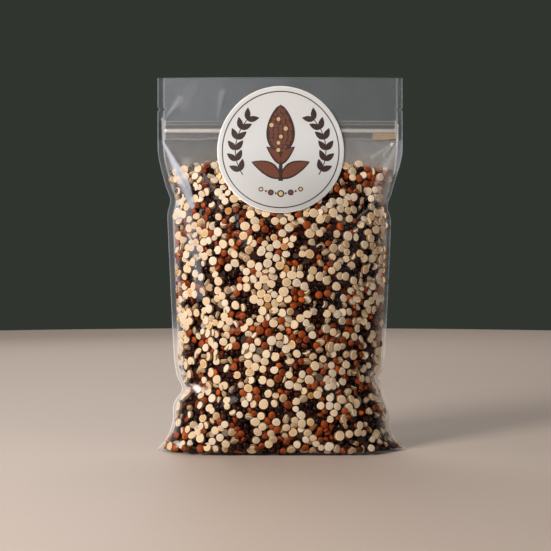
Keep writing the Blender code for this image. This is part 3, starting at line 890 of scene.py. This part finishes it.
# how milky the film is, 0 clear to 1 white. Left is what is added at its left side, Span a range and
# Less a share taken off; nearFill is most, less and rise, a line its place, half width and strength.
haze = dict(
    clear=0.0005, fillSpan=(-0.001, 0.002), leftSpan=(-0.045, 0.040), blur=0.001,
    # the header's extra haze at its left is painted light from the lamps on that side
    header=0.077, headerLeft=0.045, chest=0.128, chestLeft=-0.112, nearFill=(1.20, 0.35, 0.013),
    back=0.72, zipLess=0.25, sealSpan=(-0.0004, 0.0002), paintedShadeSpan=(0.050, 0.075),
    seal=0.050, lowSeal=0.36, lowSealLeft=-0.17, headerSeal=-0.066, headerSealLeft=-0.055,
    footRise=0.009, footSealLess=0.75, footVeilLess=0.9, zipZ=0.166, zipRise=0.010,
    # the seals' edge lines get a painted highlight near the zip
    innerLine=(-0.0001, 0.00030), inner=0.13, innerZip=0.28, innerLow=0.12,
    innerLeft=(0.105, 0.040, 0.20), outerLine=0.00035, outer=0.22, outerZip=0.18, outerLow=0.42,
    warmLeast=0.35, warmRise=0.010, footLine=(0.0010, 0.0006, 0.10), footLineSpan=(0, 0.03),
    plainSpan=(0, 0.02), plainShare=0.8, bandTint=5, shineTint=3,
)
stripeEdges = dict(inner=(0.80, 1.20), outer=(0.15, 1.50))  # over its half width
filmLook = dict(smear=60, crackle=700, cloud=34, cloudy=(0.62, 0.76), gloss=(0.003, 0.34),
                crackled=0.08, deep=0.0006, strength=0.4, mirror=(0.96, 0.96, 1.0),
                mirrorRoughness=0.15, milkRoughness=0.6, clear=(0.985, 0.985, 0.985))


def grainPress(grains):
    # where grains touch a film it stands out over each of them: the highest of their bells
    gapFront, gapBack = depthInside(grains["place"])
    offset = np.arange(-film["pressCells"], film["pressCells"] + 1)
    du, dv = np.meshgrid(offset, offset)
    stepX, stepZ = tableX[1] - tableX[0], tableZ[1] - tableZ[0]
    pressed = {}
    for side, gap in (("front", gapFront), ("back", gapBack)):
        near = gap - grains["need"] < film["contact"]
        x, z = grains["place"][near, 0], grains["place"][near, 2]
        i = np.round((x - tableX[0]) / stepX).astype(int)
        j = np.round((z - tableZ[0]) / stepZ).astype(int)
        i = np.clip(i[:, None, None] + du, 0, len(tableX) - 1)
        j = np.clip(j[:, None, None] + dv, 0, len(tableZ) - 1)
        away = np.hypot(tableX[i] - x[:, None, None], tableZ[j] - z[:, None, None])
        pressed[side] = np.zeros((len(tableZ), len(tableX)))
        np.maximum.at(pressed[side], (j, i), bell(away, 0, film["pressReach"]))
    return pressed


def spreadColumns(count):  # from -1 to 1, part even and part a sine, so closer towards both ends
    even = 0.62
    t = np.linspace(-1, 1, count)
    return even * t + (1 - even) * np.sin(np.pi / 2 * t)


def stripe(x, z, x0, z0, half0, x1, z1, half1, strength):
    # even across a band that widens from one end to the other, softer on its outer side
    dx, dz = x1 - x0, z1 - z0
    t = np.clip(((x - x0) * dx + (z - z0) * dz) / (dx * dx + dz * dz), 0, 1)
    away = np.hypot(x - x0 - t * dx, z - z0 - t * dz) / (half0 + (half1 - half0) * t)
    inner = (x - x0 - t * dx) * np.sign(-x0) > 0
    return strength * np.where(inner, 1 - ease(*stripeEdges["inner"], away),
                               1 - ease(*stripeEdges["outer"], away))


def toward(low, high, share):  # part of the way from one tint to another
    return low + (np.array(high) - low) * share


def laidOn(milk, more):  # milk with more of it laid on top
    return milk + more * (1 - milk)


def filmMilk(x, z, fromEdge, sealHere, facing):
    # How milky the film is, and its tint: clear over the grains, hazier above them, less so in the zip; then
    # the seals with a line at each side, painted sheen as veils beside them, painted reflections along
    # creases and painted glints.
    aboveFill = z - fillLevel(x)
    above = ease(*haze["fillSpan"], aboveFill)
    left = 1 - ease(*haze["leftSpan"], x)
    low = 1 - ease(*haze["paintedShadeSpan"], z)
    atFoot, nearZip = bell(z, 0, haze["footRise"]), bell(z, haze["zipZ"], haze["zipRise"])
    blur, zipFrom, zipTo = haze["blur"], zipEdge["low"], zipEdge["high"]
    belowZip = 1 - ease(zipFrom - blur, zipFrom + blur, z)
    inZip = ease(zipFrom, zipFrom + blur, z) * (1 - ease(zipTo - blur, zipTo, z))
    most, less, rise = haze["nearFill"]
    chest = (haze["chest"] + haze["chestLeft"] * left) * (most - less * ease(0, rise, aboveFill))
    # painted light: the header's haze is lighter towards the lamps on the left
    milk = haze["header"] + haze["headerLeft"] * left + belowZip * chest
    milk = haze["clear"] + above * milk * (haze["back"] if facing > 0 else 1)
    milk = milk * (1 - haze["zipLess"] * inZip)

    inward = fromEdge - sealHere
    seal = 1 - ease(*haze["sealSpan"], inward)
    lowSeal = (haze["lowSeal"] + haze["lowSealLeft"] * left) * low * (1 - haze["footSealLess"] * atFoot)
    headerSeal = above * (haze["headerSeal"] + haze["headerSealLeft"] * left)
    milk = milk + seal * (haze["seal"] + lowSeal + headerSeal)
    # the lines along the seals' edges, with a painted highlight on them near the zip
    lineZ, lineRise, lineMilk = haze["innerLeft"]
    inner = haze["inner"] + haze["innerZip"] * nearZip + haze["innerLow"] * low
    inner = inner + lineMilk * left * bell(z, lineZ, lineRise)
    outer = haze["outer"] + haze["outerZip"] * nearZip + haze["outerLow"] * low
    milk = milk + bell(inward, *haze["innerLine"]) * inner + bell(fromEdge, 0, haze["outerLine"]) * outer

    # painted light thrown back from the grains: a warm tint between the fill and the zip, most near the fill
    nearTop = ease(haze["warmRise"], 0, aboveFill)
    warm = above * belowZip * (1 - seal) * (haze["warmLeast"] + (1 - haze["warmLeast"]) * nearTop)
    tint = toward(np.array(milkTints["cool"]), milkTints["warm"], warm[..., None])
    uneven = veilMiddle + sum(size * np.sin(z * up + x * across) for up, across, size in veilWaves)
    for key, side in (("left", x < 0), ("right", x > 0)):
        reach, strength, share = veils[key]
        # painted sheen beside the seals, where the film curves away
        veil = side * strength * uneven * bell(np.maximum(inward, 0), 0, reach) * (1 - above) * (1 - seal)
        veil = veil * (1 - haze["footVeilLess"] * atFoot)
        milk = laidOn(milk, veil)
        tint = toward(tint, milkTints["warm"], (share * np.clip(veilWarm * veil, 0, 1))[..., None])
        tint = toward(tint, milkTints["pale"], (side * seal * low)[..., None])
    if facing < 0:
        footZ, footHalf, footMilk = haze["footLine"]
        milk = milk + footMilk * bell(z, footZ, footHalf) * (1 - seal) * ease(*haze["footLineSpan"], x)
        # painted reflections along creases and painted glints, laid on the haze and given their tints
        creaseSheenHere = np.max([stripe(x, z, *line) for line in paintedCreaseSheens], 0)
        shine = np.max([stripe(x, z, *line) for line in glints], 0)
        milk = laidOn(laidOn(milk, creaseSheenHere), shine)
        share = np.clip(haze["bandTint"] * creaseSheenHere, 0, 1)[..., None]
        plain = haze["plainShare"] * ease(*haze["plainSpan"], x)[..., None]
        tint = toward(toward(tint, milkTints["cool"], share), milkTints["plain"], share * plain)
        share = np.clip(haze["shineTint"] * shine, 0, 1)[..., None]
        tint = toward(tint, milkTints["white"], share)
    return milk, tint


def nickedSide(z, side):  # the outline, straight in to the bottom of its V-shaped tear nick and out
    nick = side["nick"]
    inNick = np.clip(1 - np.abs(z - pouch["nickZ"]) / nick["half"], 0, 1)
    return halfWidth(z, side) - nick["depth"] * inNick


def filmGrid(facing, pressed):
    # Rows from the foot up, columns from the left edge over the seal, the bulge and the other seal.
    # Its y is the middle plus the film's rise, the press of the grains and the seals' fine ridges.
    halves = [leftSide["nick"]["half"], rightSide["nick"]["half"]]
    nick = np.unique(pouch["nickZ"] + np.array([-1, -0.5, 0, 0.5, 1])[:, None] * halves)
    rows = np.linspace(0, 1, film["rows"] - len(nick)) ** film["rowPower"] * pouch["height"]
    z = np.sort(np.concatenate([rows, nick]))[:, None]
    low, high = innerEdges(z)
    inSeal = np.linspace(0, 1, film["sealColumns"], endpoint=False)[None, :]
    leftEdge, rightEdge = -nickedSide(z, leftSide), nickedSide(z, rightSide)
    across = spreadColumns(film["columns"])[None, :]
    x = np.concatenate([leftEdge + inSeal * (low - leftEdge), low + (across + 1) / 2 * (high - low),
                        (rightEdge + inSeal * (high - rightEdge))[:, ::-1]], 1)
    z = z + 0 * x
    fromEdge = np.minimum(x - leftEdge, rightEdge - x)
    sealHere = np.where(x < 0, sealWidth(z, leftSide), sealWidth(z, rightSide))
    rise = filmRise(x, acrossOf(x, z), z, facing, fine=True)
    press = sample(pressed["front" if facing < 0 else "back"], x, z)
    rise = rise + film["pressRise"] * press * (1 - underLabel(x, z) * (facing < 0))
    share = fromEdge / sealHere
    ridges = sum(size * bell(share, at, film["sealLineHalf"]) for at, size in film["sealLines"])
    ridges = ridges * (1 - ease(*film["sealLineEnd"], share))
    flat = pouch["sealHalf"] * np.clip(fromEdge / film["edgeTaper"], 0, 1) ** 0.5
    y = middleY(x, z) + facing * (flat + rise + ridges)
    return np.stack([x, y, z], -1), *filmMilk(x, z, fromEdge, sealHere, facing)


def filmFinish():
    # clear film with a mirror and a milky surface over it, as much as its gloss and haze together
    finish, look = Finish("clear_film"), filmLook
    place = finish.place()
    smear, crackle = finish.noise(look["smear"], 4, place), finish.noise(look["crackle"], 3, place)
    least, more = look["cloudy"]
    cloudy = finish.mark("milk") * (least + finish.noise(look["cloud"], 3, place) * more)
    least, more = look["gloss"]
    total = cloudy + (least + more * finish.away() ** 4)
    height = smear * (1 - look["crackled"]) + crackle * look["crackled"]
    normal = finish.bump(height, look["deep"], look["strength"])
    mirror = finish.solid(look["mirror"], look["mirrorRoughness"], normal, metallic=1.0)
    milk = finish.solid(finish.mark("tint", "Vector"), look["milkRoughness"], normal)
    surface = finish.join(cloudy / total, mirror, milk)
    return finish.done(finish.join(total, finish.clear(look["clear"]), surface))


def weld(points, faces, values):
    # one mesh of triangles from grids that meet: points in the same place become one
    corner = np.concatenate([np.concatenate([f[:, [0, 1, 2]], f[:, [0, 2, 3]]]) for f in faces])
    _, first, number = np.unique(np.round(points, 7), axis=0, return_index=True, return_inverse=True)
    corner = number.ravel()[corner]
    whole = (corner[:, 0] != corner[:, 1]) & (corner[:, 1] != corner[:, 2]) & (corner[:, 2] != corner[:, 0])
    return points[first], corner[whole], values[first]


def makeFilm():
    pressed = grainPress(grains)
    # each grid is (points, milk, tint, flipped)
    front, back = (*filmGrid(-1, pressed), False), (*filmGrid(1, pressed), True)
    # the gusset under the fill is slightly hollow, and a cut edge runs along the top
    share = np.linspace(0, 1, film["footRows"])[:, None, None]
    foot = front[0][0] * (1 - share) + back[0][0] * share
    foot[..., 2] += film["footHollow"] * np.sin(np.pi * share[..., 0])
    top = front[0][-1] * (1 - share[::4]) + back[0][-1] * share[::4]
    grids = [front, back]
    for grid, milk, flip in ((foot, film["footMilk"], True), (top, film["topMilk"], False)):
        tint = np.full(grid.shape, milkTints["cool"])
        grids.append((grid, np.full(grid.shape[:2], milk), tint, flip))
    starts = np.cumsum([0] + [grid[1].size for grid in grids])
    faces = [gridFaces(*grid[1].shape, start=start, flip=grid[3]) for grid, start in zip(grids, starts)]
    points, milk, tint = (np.concatenate([grid[k].reshape(-1, width) for grid in grids])
                          for k, width in ((0, 3), (1, 1), (2, 3)))
    points, corner, values = weld(points, faces, np.concatenate([milk, tint], 1))
    marks = dict(milk=values[:, 0], tint=values[:, 1:])
    piece = makePiece("film", points, [corner], [filmFinish()], marks=marks)
    print("  film triangles:", len(corner))
    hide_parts("pouch")


makeFilm()
print("film made")

# Zip

zipStrip = dict(rows=64, columns=140, gap=0.0003, crush=0.5, crushPower=30, filmShare=0.9,
                ribs=((0.1738, 0.00018, 0.0004), (0.1723, 0.00035, 0.0005),  # height, rise, spread
                      (0.1690, 0.00060, 0.0011), (0.1650, 0.00020, 0.0006)),
                # the lower edge's sines: length, shift, size; and how far up their middle lies
                waves=((0.0031, 0, 0.00022), (0.0052, 2, 0.00022), (0.0013, 1, 0.000132)), waveUp=0.0002,
                flangeTop=0.1678, flangeMilk=0.05, tanFrom=0.0476, tanBlur=0.001, tanMilk=0.38,
                ridge=(0.16795, 0.1683, 0.1696, 0.1704), ridgeMilk=(0.42, -0.14, 0.05),
                lines=((0.1688, 0.0006, 0.20), (0.1739, 0.00022, 0.22), (0.1724, 0.00022, 0.20)),
                # the ends carry a painted highlight
                lowerLine=(0.035, 0.22), ends=(0.985, 0.50))
zipLook = dict(wear=260, worn=(0.75, 0.5), gloss=(0.02, 0.5), deep=0.0002, roughness=0.28, specular=0.8,
               plastic=(0.70, 0.665, 0.635), tan=(0.60, 0.44, 0.27), clear=(0.98, 0.98, 0.98))


def closedSlab(front, back):
    # points and faces of two grids of the same size, and of the walls along the rim between them
    rows, columns = front.shape[:2]
    count = rows * columns
    rim = np.concatenate([np.arange(columns), np.arange(1, rows) * columns + columns - 1,
                          (rows - 1) * columns + np.arange(columns - 2, -1, -1),
                          np.arange(rows - 2, 0, -1) * columns])
    after = np.roll(rim, -1)
    walls = np.stack([after, rim, rim + count, after + count], 1)
    points = np.concatenate([front.reshape(-1, 3), back.reshape(-1, 3)])
    return points, [gridFaces(rows, columns), gridFaces(rows, columns, start=count, flip=True), walls]


def zipFinish():
    finish, look = Finish("zip_plastic"), zipLook
    wear = finish.noise(look["wear"], 3)
    least, more = look["worn"]
    cloudy = finish.mark("milk") * (least + wear * more)
    least, more = look["gloss"]
    total = cloudy + least + more * finish.away() ** 4
    colour = finish.mix(finish.mark("tan"), look["plastic"], look["tan"])
    normal = finish.bump(wear, look["deep"], 0.5)
    plastic = finish.solid(colour, look["roughness"], normal, look["specular"])
    return finish.done(finish.join(total, finish.clear(look["clear"]), plastic))


def makeZip():
    # Front and back follow the film, lifted by ribs that are bells of the height, and are pressed
    # flat at both ends by a high power. The lower edge is cut unevenly, by a few sines.
    share = np.linspace(0, 1, zipStrip["rows"])[:, None]
    across = spreadColumns(zipStrip["columns"])[None, :] + 0 * share
    low, high = innerEdges(zipHigh.z)
    x = (low + (across + 1) / 2 * (high - low)) * (1 - zipStrip["gap"] / zipHigh.x)
    wavy = sum(size * np.sin(x / length + shift) for length, shift, size in zipStrip["waves"])
    bottom = zipLow.z + np.maximum(wavy + zipStrip["waveUp"], 0)
    z = bottom + share * (zipHigh.z - bottom)
    ribs = sum(height * bell(z, middle, half) for middle, height, half in zipStrip["ribs"])
    ends = 1 - zipStrip["crush"] * np.abs(across) ** zipStrip["crushPower"]
    grids = []
    for facing in (-1, 1):
        rise = filmRise(x, across, z, facing) * zipStrip["filmShare"]
        lift = (pouch["sealHalf"] + rise + ribs) * ends
        grids.append(np.stack([x, middleY(x, z) + facing * lift, z], -1))
    points, faces = closedSlab(*grids)
    rise, full, fade, gone = zipStrip["ridge"]
    most, right, span = zipStrip["ridgeMilk"]
    milk = (most + right * ease(0, span, x)) * ease(rise, full, z) * (1 - ease(fade, gone, z))
    milk = milk + sum(amount * bell(z, middle, half) for middle, half, amount in zipStrip["lines"])
    flange = z < zipStrip["flangeTop"]
    tan = ease(zipStrip["tanFrom"], zipStrip["tanFrom"] + zipStrip["tanBlur"], x) * flange
    milk = milk + zipStrip["flangeMilk"] * flange + zipStrip["tanMilk"] * tan
    milk = milk + zipStrip["lowerLine"][1] * bell(share, 0, zipStrip["lowerLine"][0])
    # painted highlight at the zip's crushed ends
    milk = milk + zipStrip["ends"][1] * ease(zipStrip["ends"][0], 1, np.abs(across))
    marks = dict(milk=np.tile(milk.ravel(), 2), tan=np.tile(tan.ravel(), 2))
    piece = makePiece("zip_strip", points, faces, [zipFinish()], marks=marks)
    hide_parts("zip")


makeZip()
print("zip made")

# Sticker and its print

sticker = dict(rings=22, spokes=144, narrow=0.982, lower=0.0006, lift=0.00060, thick=0.00016,
               bridge=0.0007, bridgeZ=0.1690, bridgeRise=0.009, edgeDrop=0.4,
               middle=0.004, ringSpan=(0.05, 0.972), rim=(0.988, 1.0),
               # painted shade: the paper is darkened towards the sticker's foot, over a span of heights
               paper=((0.705, 0.71, 0.725), (0.66, 0.665, 0.68)), paintedShadePaper=(0.515, 0.505, 0.50),
               paintedShadeSpan=(0.168, 0.124), cutEdge=((0.90, 0.88, 0.86), (0.84, 0.82, 0.80)),
               fibre=1400, cloud=35, tinted=(0.3, 0.5), raised=(0.6, 0.4), deep=0.0001, strength=0.4,
               roughness=0.42, cutRoughness=0.35)


def onSticker(p, q, lift):
    # a place on the sticker, p to the right and q up from its middle: it lies on the film by its
    # lift, with a bell more where it bridges the zip
    x, z = labelPlace["x"] + p * sticker["narrow"], labelPlace["z"] + q - sticker["lower"]
    bridge = sticker["bridge"] * bell(z, sticker["bridgeZ"], sticker["bridgeRise"])
    rise = pouch["sealHalf"] + filmRise(x, acrossOf(x, z), z, -1)
    return np.stack([x, middleY(x, z) - rise - bridge - lift, z], -1)


def stickerFinish():
    finish = Finish("sticker_paper")
    place = finish.place()
    fibre, cloud = finish.noise(sticker["fibre"], 4, place), finish.noise(sticker["cloud"], 3, place)
    height = finish.node("ShaderNodeSeparateXYZ", None, [place], "Z")
    ofFibre, ofCloud = sticker["tinted"]
    colour = finish.mix(cloud * ofCloud + fibre * ofFibre, *sticker["paper"])
    # painted shade: the paper darker towards the sticker's foot
    colour = finish.mix(height.step(*sticker["paintedShadeSpan"]), colour, sticker["paintedShadePaper"])
    ofFibre, ofCloud = sticker["raised"]
    normal = finish.bump(fibre * ofFibre + cloud * ofCloud, sticker["deep"], sticker["strength"])
    return finish.done(finish.solid(colour, sticker["roughness"], normal))


def rimFinish():
    finish = Finish("sticker_edge")
    colour = finish.mix(finish.noise(sticker["fibre"], 4), *sticker["cutEdge"])
    return finish.done(finish.solid(colour, sticker["cutRoughness"]))


def makeSticker():
    # rings from the middle of the face out to the rim, over it, and back to the middle behind
    spokes = sticker["spokes"]
    angle = np.linspace(0, 2 * np.pi, spokes, endpoint=False)[None, :]
    rings = np.linspace(*sticker["ringSpan"], sticker["rings"] - 3)
    share = np.concatenate([[sticker["middle"]], rings, sticker["rim"]])[:, None] * labelPlace["radius"]
    p, q = share * np.cos(angle), share * np.sin(angle)
    lift = np.full_like(p, sticker["lift"] + sticker["thick"])
    lift[-1] -= sticker["thick"] * sticker["edgeDrop"]
    back = np.full_like(p, sticker["lift"])
    grid = np.concatenate([onSticker(p, q, lift), onSticker(p, q, back)[::-1]])
    rows = len(grid)
    ring = np.repeat(np.arange(rows - 1), spokes)
    lookOf = (np.abs(ring - sticker["rings"]) < 3).astype(int)
    ends = np.stack([np.arange(spokes)[::-1], (rows - 1) * spokes + np.arange(spokes)])
    piece = makePiece("sticker", grid.reshape(-1, 3), [gridFaces(rows, spokes, wrap=True), ends],
                      [stickerFinish(), rimFinish()], lookOf=np.concatenate([lookOf, [0, 0]]))
    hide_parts("label")


makeSticker()
print("sticker made")

# The print: a quinoa plume with leaves in a thin ring. Sizes in metres from the sticker's middle.
printed = dict(
    ring=(0.0312, 0.00055), stem=(-0.0170, 0.0006, 0.0013, 0.001), plume=(-0.0010, 0.0235, 0.0070),
    plumeGrow=0.0007, leaves=((30, 0.0180, 0.0078, -0.0155), (52, 0.0125, 0.0052, -0.0080)),
    leafBend=0.0012, leafShrink=0.0009,
    sprigRadius=0.0242, sprigLeaves=6, sprigAngles=(-28, 42), sprigLean=38, sprigLeaf=(0.0066, 0.0032),
    sprigStem=(0.0005, 6, 4), seedRows=13, seed=0.00118, seedStep=2.15, seedEdge=0.0006,
    seedShift=(0.0002, 0.0003), seedSize=(0.92, 0.08),
    # the row of grains: how much smaller each is to the sides, its inner disc, the dots between
    row=dict(at=-0.0238, apart=0.0052, count=5, sag=0.0006, size=0.0019, less=0.0003, inner=0.62,
             between=0.00055),
    lifts=dict(brown=0.00005, rust=0.00009, tan=0.00012), roughness=0.45, fibre=1100,
    worn=(0.30, 0.75, 0.25), wornTint=(0.6, 0.10),
)
inks = dict(brown=(0.034, 0.015, 0.012), rust=(0.150, 0.045, 0.022), tan=(0.66, 0.44, 0.22))


def leafShape(p, q, angle, length, width, bend=0.0, shrink=0.0):
    # t runs along the leaf and s across it, as wide as the sine of t; bend curves its midrib
    t, s = np.meshgrid(np.linspace(0, 1, 15), np.linspace(-1, 1, 5), indexing="ij")
    along = shrink + t * (length - 2 * shrink)
    wide = np.maximum(width / 2 - shrink, 0) * np.sin(np.pi * t ** 0.8) ** 0.85
    off = s * wide + bend * np.sin(np.pi * along / length)
    a = np.radians(angle)
    return p + along * np.cos(a) - off * np.sin(a), q + along * np.sin(a) + off * np.cos(a)


def discShape(p, q, radius):  # three circles about a middle
    share, angle = np.meshgrid([0.02, 0.5, 1.0], np.linspace(0, 2 * np.pi, 19), indexing="ij")
    return p + radius * share * np.cos(angle), q + radius * share * np.sin(angle)


def arcShape(radius, width, start, end):  # a band along a circle, angles in degrees
    angle, s = np.meshgrid(np.radians(np.linspace(start, end, 181)), [-0.5, 0.5], indexing="ij")
    return (radius + s * width) * np.cos(angle), (radius + s * width) * np.sin(angle)


def plumeWidth(t, half):  # of the seed head at share t of its height: a sine, fuller low down
    return half * np.sin(np.pi * t ** 0.78) ** 0.62


def plumeShape():  # the outline of the seed head, t up its height and s across
    low, high, half = printed["plume"]
    grow = printed["plumeGrow"]
    t, s = np.meshgrid(np.linspace(0, 1, 25), np.linspace(-1, 1, 7), indexing="ij")
    return s * plumeWidth(t, half + grow), low - grow + t * (high - low + 2 * grow)


def stemShape():  # straight up to the seed head, t up its height and s across, wider at its foot
    foot, halfTop, halfFoot, inHead = printed["stem"]
    t, s = np.meshgrid(np.linspace(0, 1, 16), [-1, 0, 1], indexing="ij")
    top = printed["plume"][0] + inHead
    return s * (halfFoot + (halfTop - halfFoot) * t), foot + t * (top - foot)


def drawLeaves(shapes):  # two pairs beside the stem, each a dark leaf with a paler one in it
    for angle, length, width, at in printed["leaves"]:
        for turn, bend in ((angle, printed["leafBend"]), (180 - angle, -printed["leafBend"])):
            shapes["brown"].append(leafShape(0, at, turn, length, width, bend))
            shapes["rust"].append(leafShape(0, at, turn, length, width, bend, printed["leafShrink"]))


def drawSprigs(shapes):  # small leaves in pairs along the circle, on both sides
    radius, (start, end) = printed["sprigRadius"], printed["sprigAngles"]
    width, before, after = printed["sprigStem"]
    for side in (1, -1):
        for at in np.linspace(start, end, printed["sprigLeaves"]):
            p, q = side * radius * np.cos(np.radians(at)), radius * np.sin(np.radians(at))
            for lean in (printed["sprigLean"], -printed["sprigLean"]):
                heading = at + 90 + lean
                heading = heading if side > 0 else 180 - heading
                shapes["brown"].append(leafShape(p, q, heading, *printed["sprigLeaf"]))
        span = (start - before, end + after) if side > 0 else (180 - end - after, 180 - start + before)
        shapes["brown"].append(arcShape(radius, width, *span))


def drawSeeds(shapes):  # rows of discs within the seed head, a little uneven, every seventh one tan
    low, high, half = printed["plume"]
    seed, apart = printed["seed"], printed["seedStep"] * printed["seed"]
    aside, upward = printed["seedShift"]
    least, more = printed["seedSize"]
    for row in range(printed["seedRows"]):
        t = (row + 0.5) / printed["seedRows"]
        wide = plumeWidth(t, half) - printed["seedEdge"]
        count = max(int(round(2 * wide / apart)), 1)
        for k in range(count):
            p = (k - (count - 1) / 2) * apart + aside * np.sin(7 * k + 3 * row)
            q = low + t * (high - low) + upward * np.sin(5 * k + 2 * row)
            ink = "tan" if (3 * k + 2 * row) % 7 == 0 else "rust"
            shapes[ink].append(discShape(p, q, seed * (least + more * np.sin(3 * k + row))))


def drawRow(shapes):  # grains along a sagging line under the leaves, with dots between them
    row = printed["row"]
    middle = (row["count"] - 1) / 2
    for k in range(row["count"]):
        p, q = (k - middle) * row["apart"], row["at"] + row["sag"] * (k - middle) ** 2
        size = row["size"] - row["less"] * abs(k - middle)
        shapes["brown"].append(discShape(p, q, size))
        shapes["rust" if k % 2 else "tan"].append(discShape(p, q, size * row["inner"]))
    for step in np.arange(row["count"] - 1) + 0.5 - middle:
        q = row["at"] + row["sag"] * step ** 2
        shapes["brown"].append(discShape(step * row["apart"], q, row["between"]))


def makePrint(name, shapes):
    # one piece of ink: each flat shape is laid on the sticker, facing out whichever way it was drawn
    points, faces, start = [], [], 0
    lift = sticker["lift"] + sticker["thick"] + printed["lifts"][name]
    for p, q in shapes:
        points.append(onSticker(p, q, lift).reshape(-1, 3))
        area = np.sum(np.diff(p, axis=0)[:, :-1] * np.diff(q, axis=1)[:-1] -
                      np.diff(q, axis=0)[:, :-1] * np.diff(p, axis=1)[:-1])
        faces.append(gridFaces(*p.shape, start=start, flip=area > 0))
        start += p.size
    finish = Finish("print_" + name)
    low, high, share = printed["worn"]
    times, plus = printed["wornTint"]
    worn = tuple(c * times + plus for c in inks[name])
    colour = finish.mix(finish.noise(printed["fibre"], 3).step(low, high) * share, inks[name], worn)
    look = finish.done(finish.solid(colour, printed["roughness"]))
    piece = makePiece("print_" + name, np.concatenate(points), faces, [look])
    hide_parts("label")


def makePrints():
    shapes = dict(brown=[arcShape(*printed["ring"], 0, 360), plumeShape(), stemShape()], rust=[], tan=[])
    for addPart in (drawLeaves, drawSprigs, drawSeeds, drawRow):
        addPart(shapes)
    for name in shapes:
        makePrint(name, shapes[name])


makePrints()
print("print made")
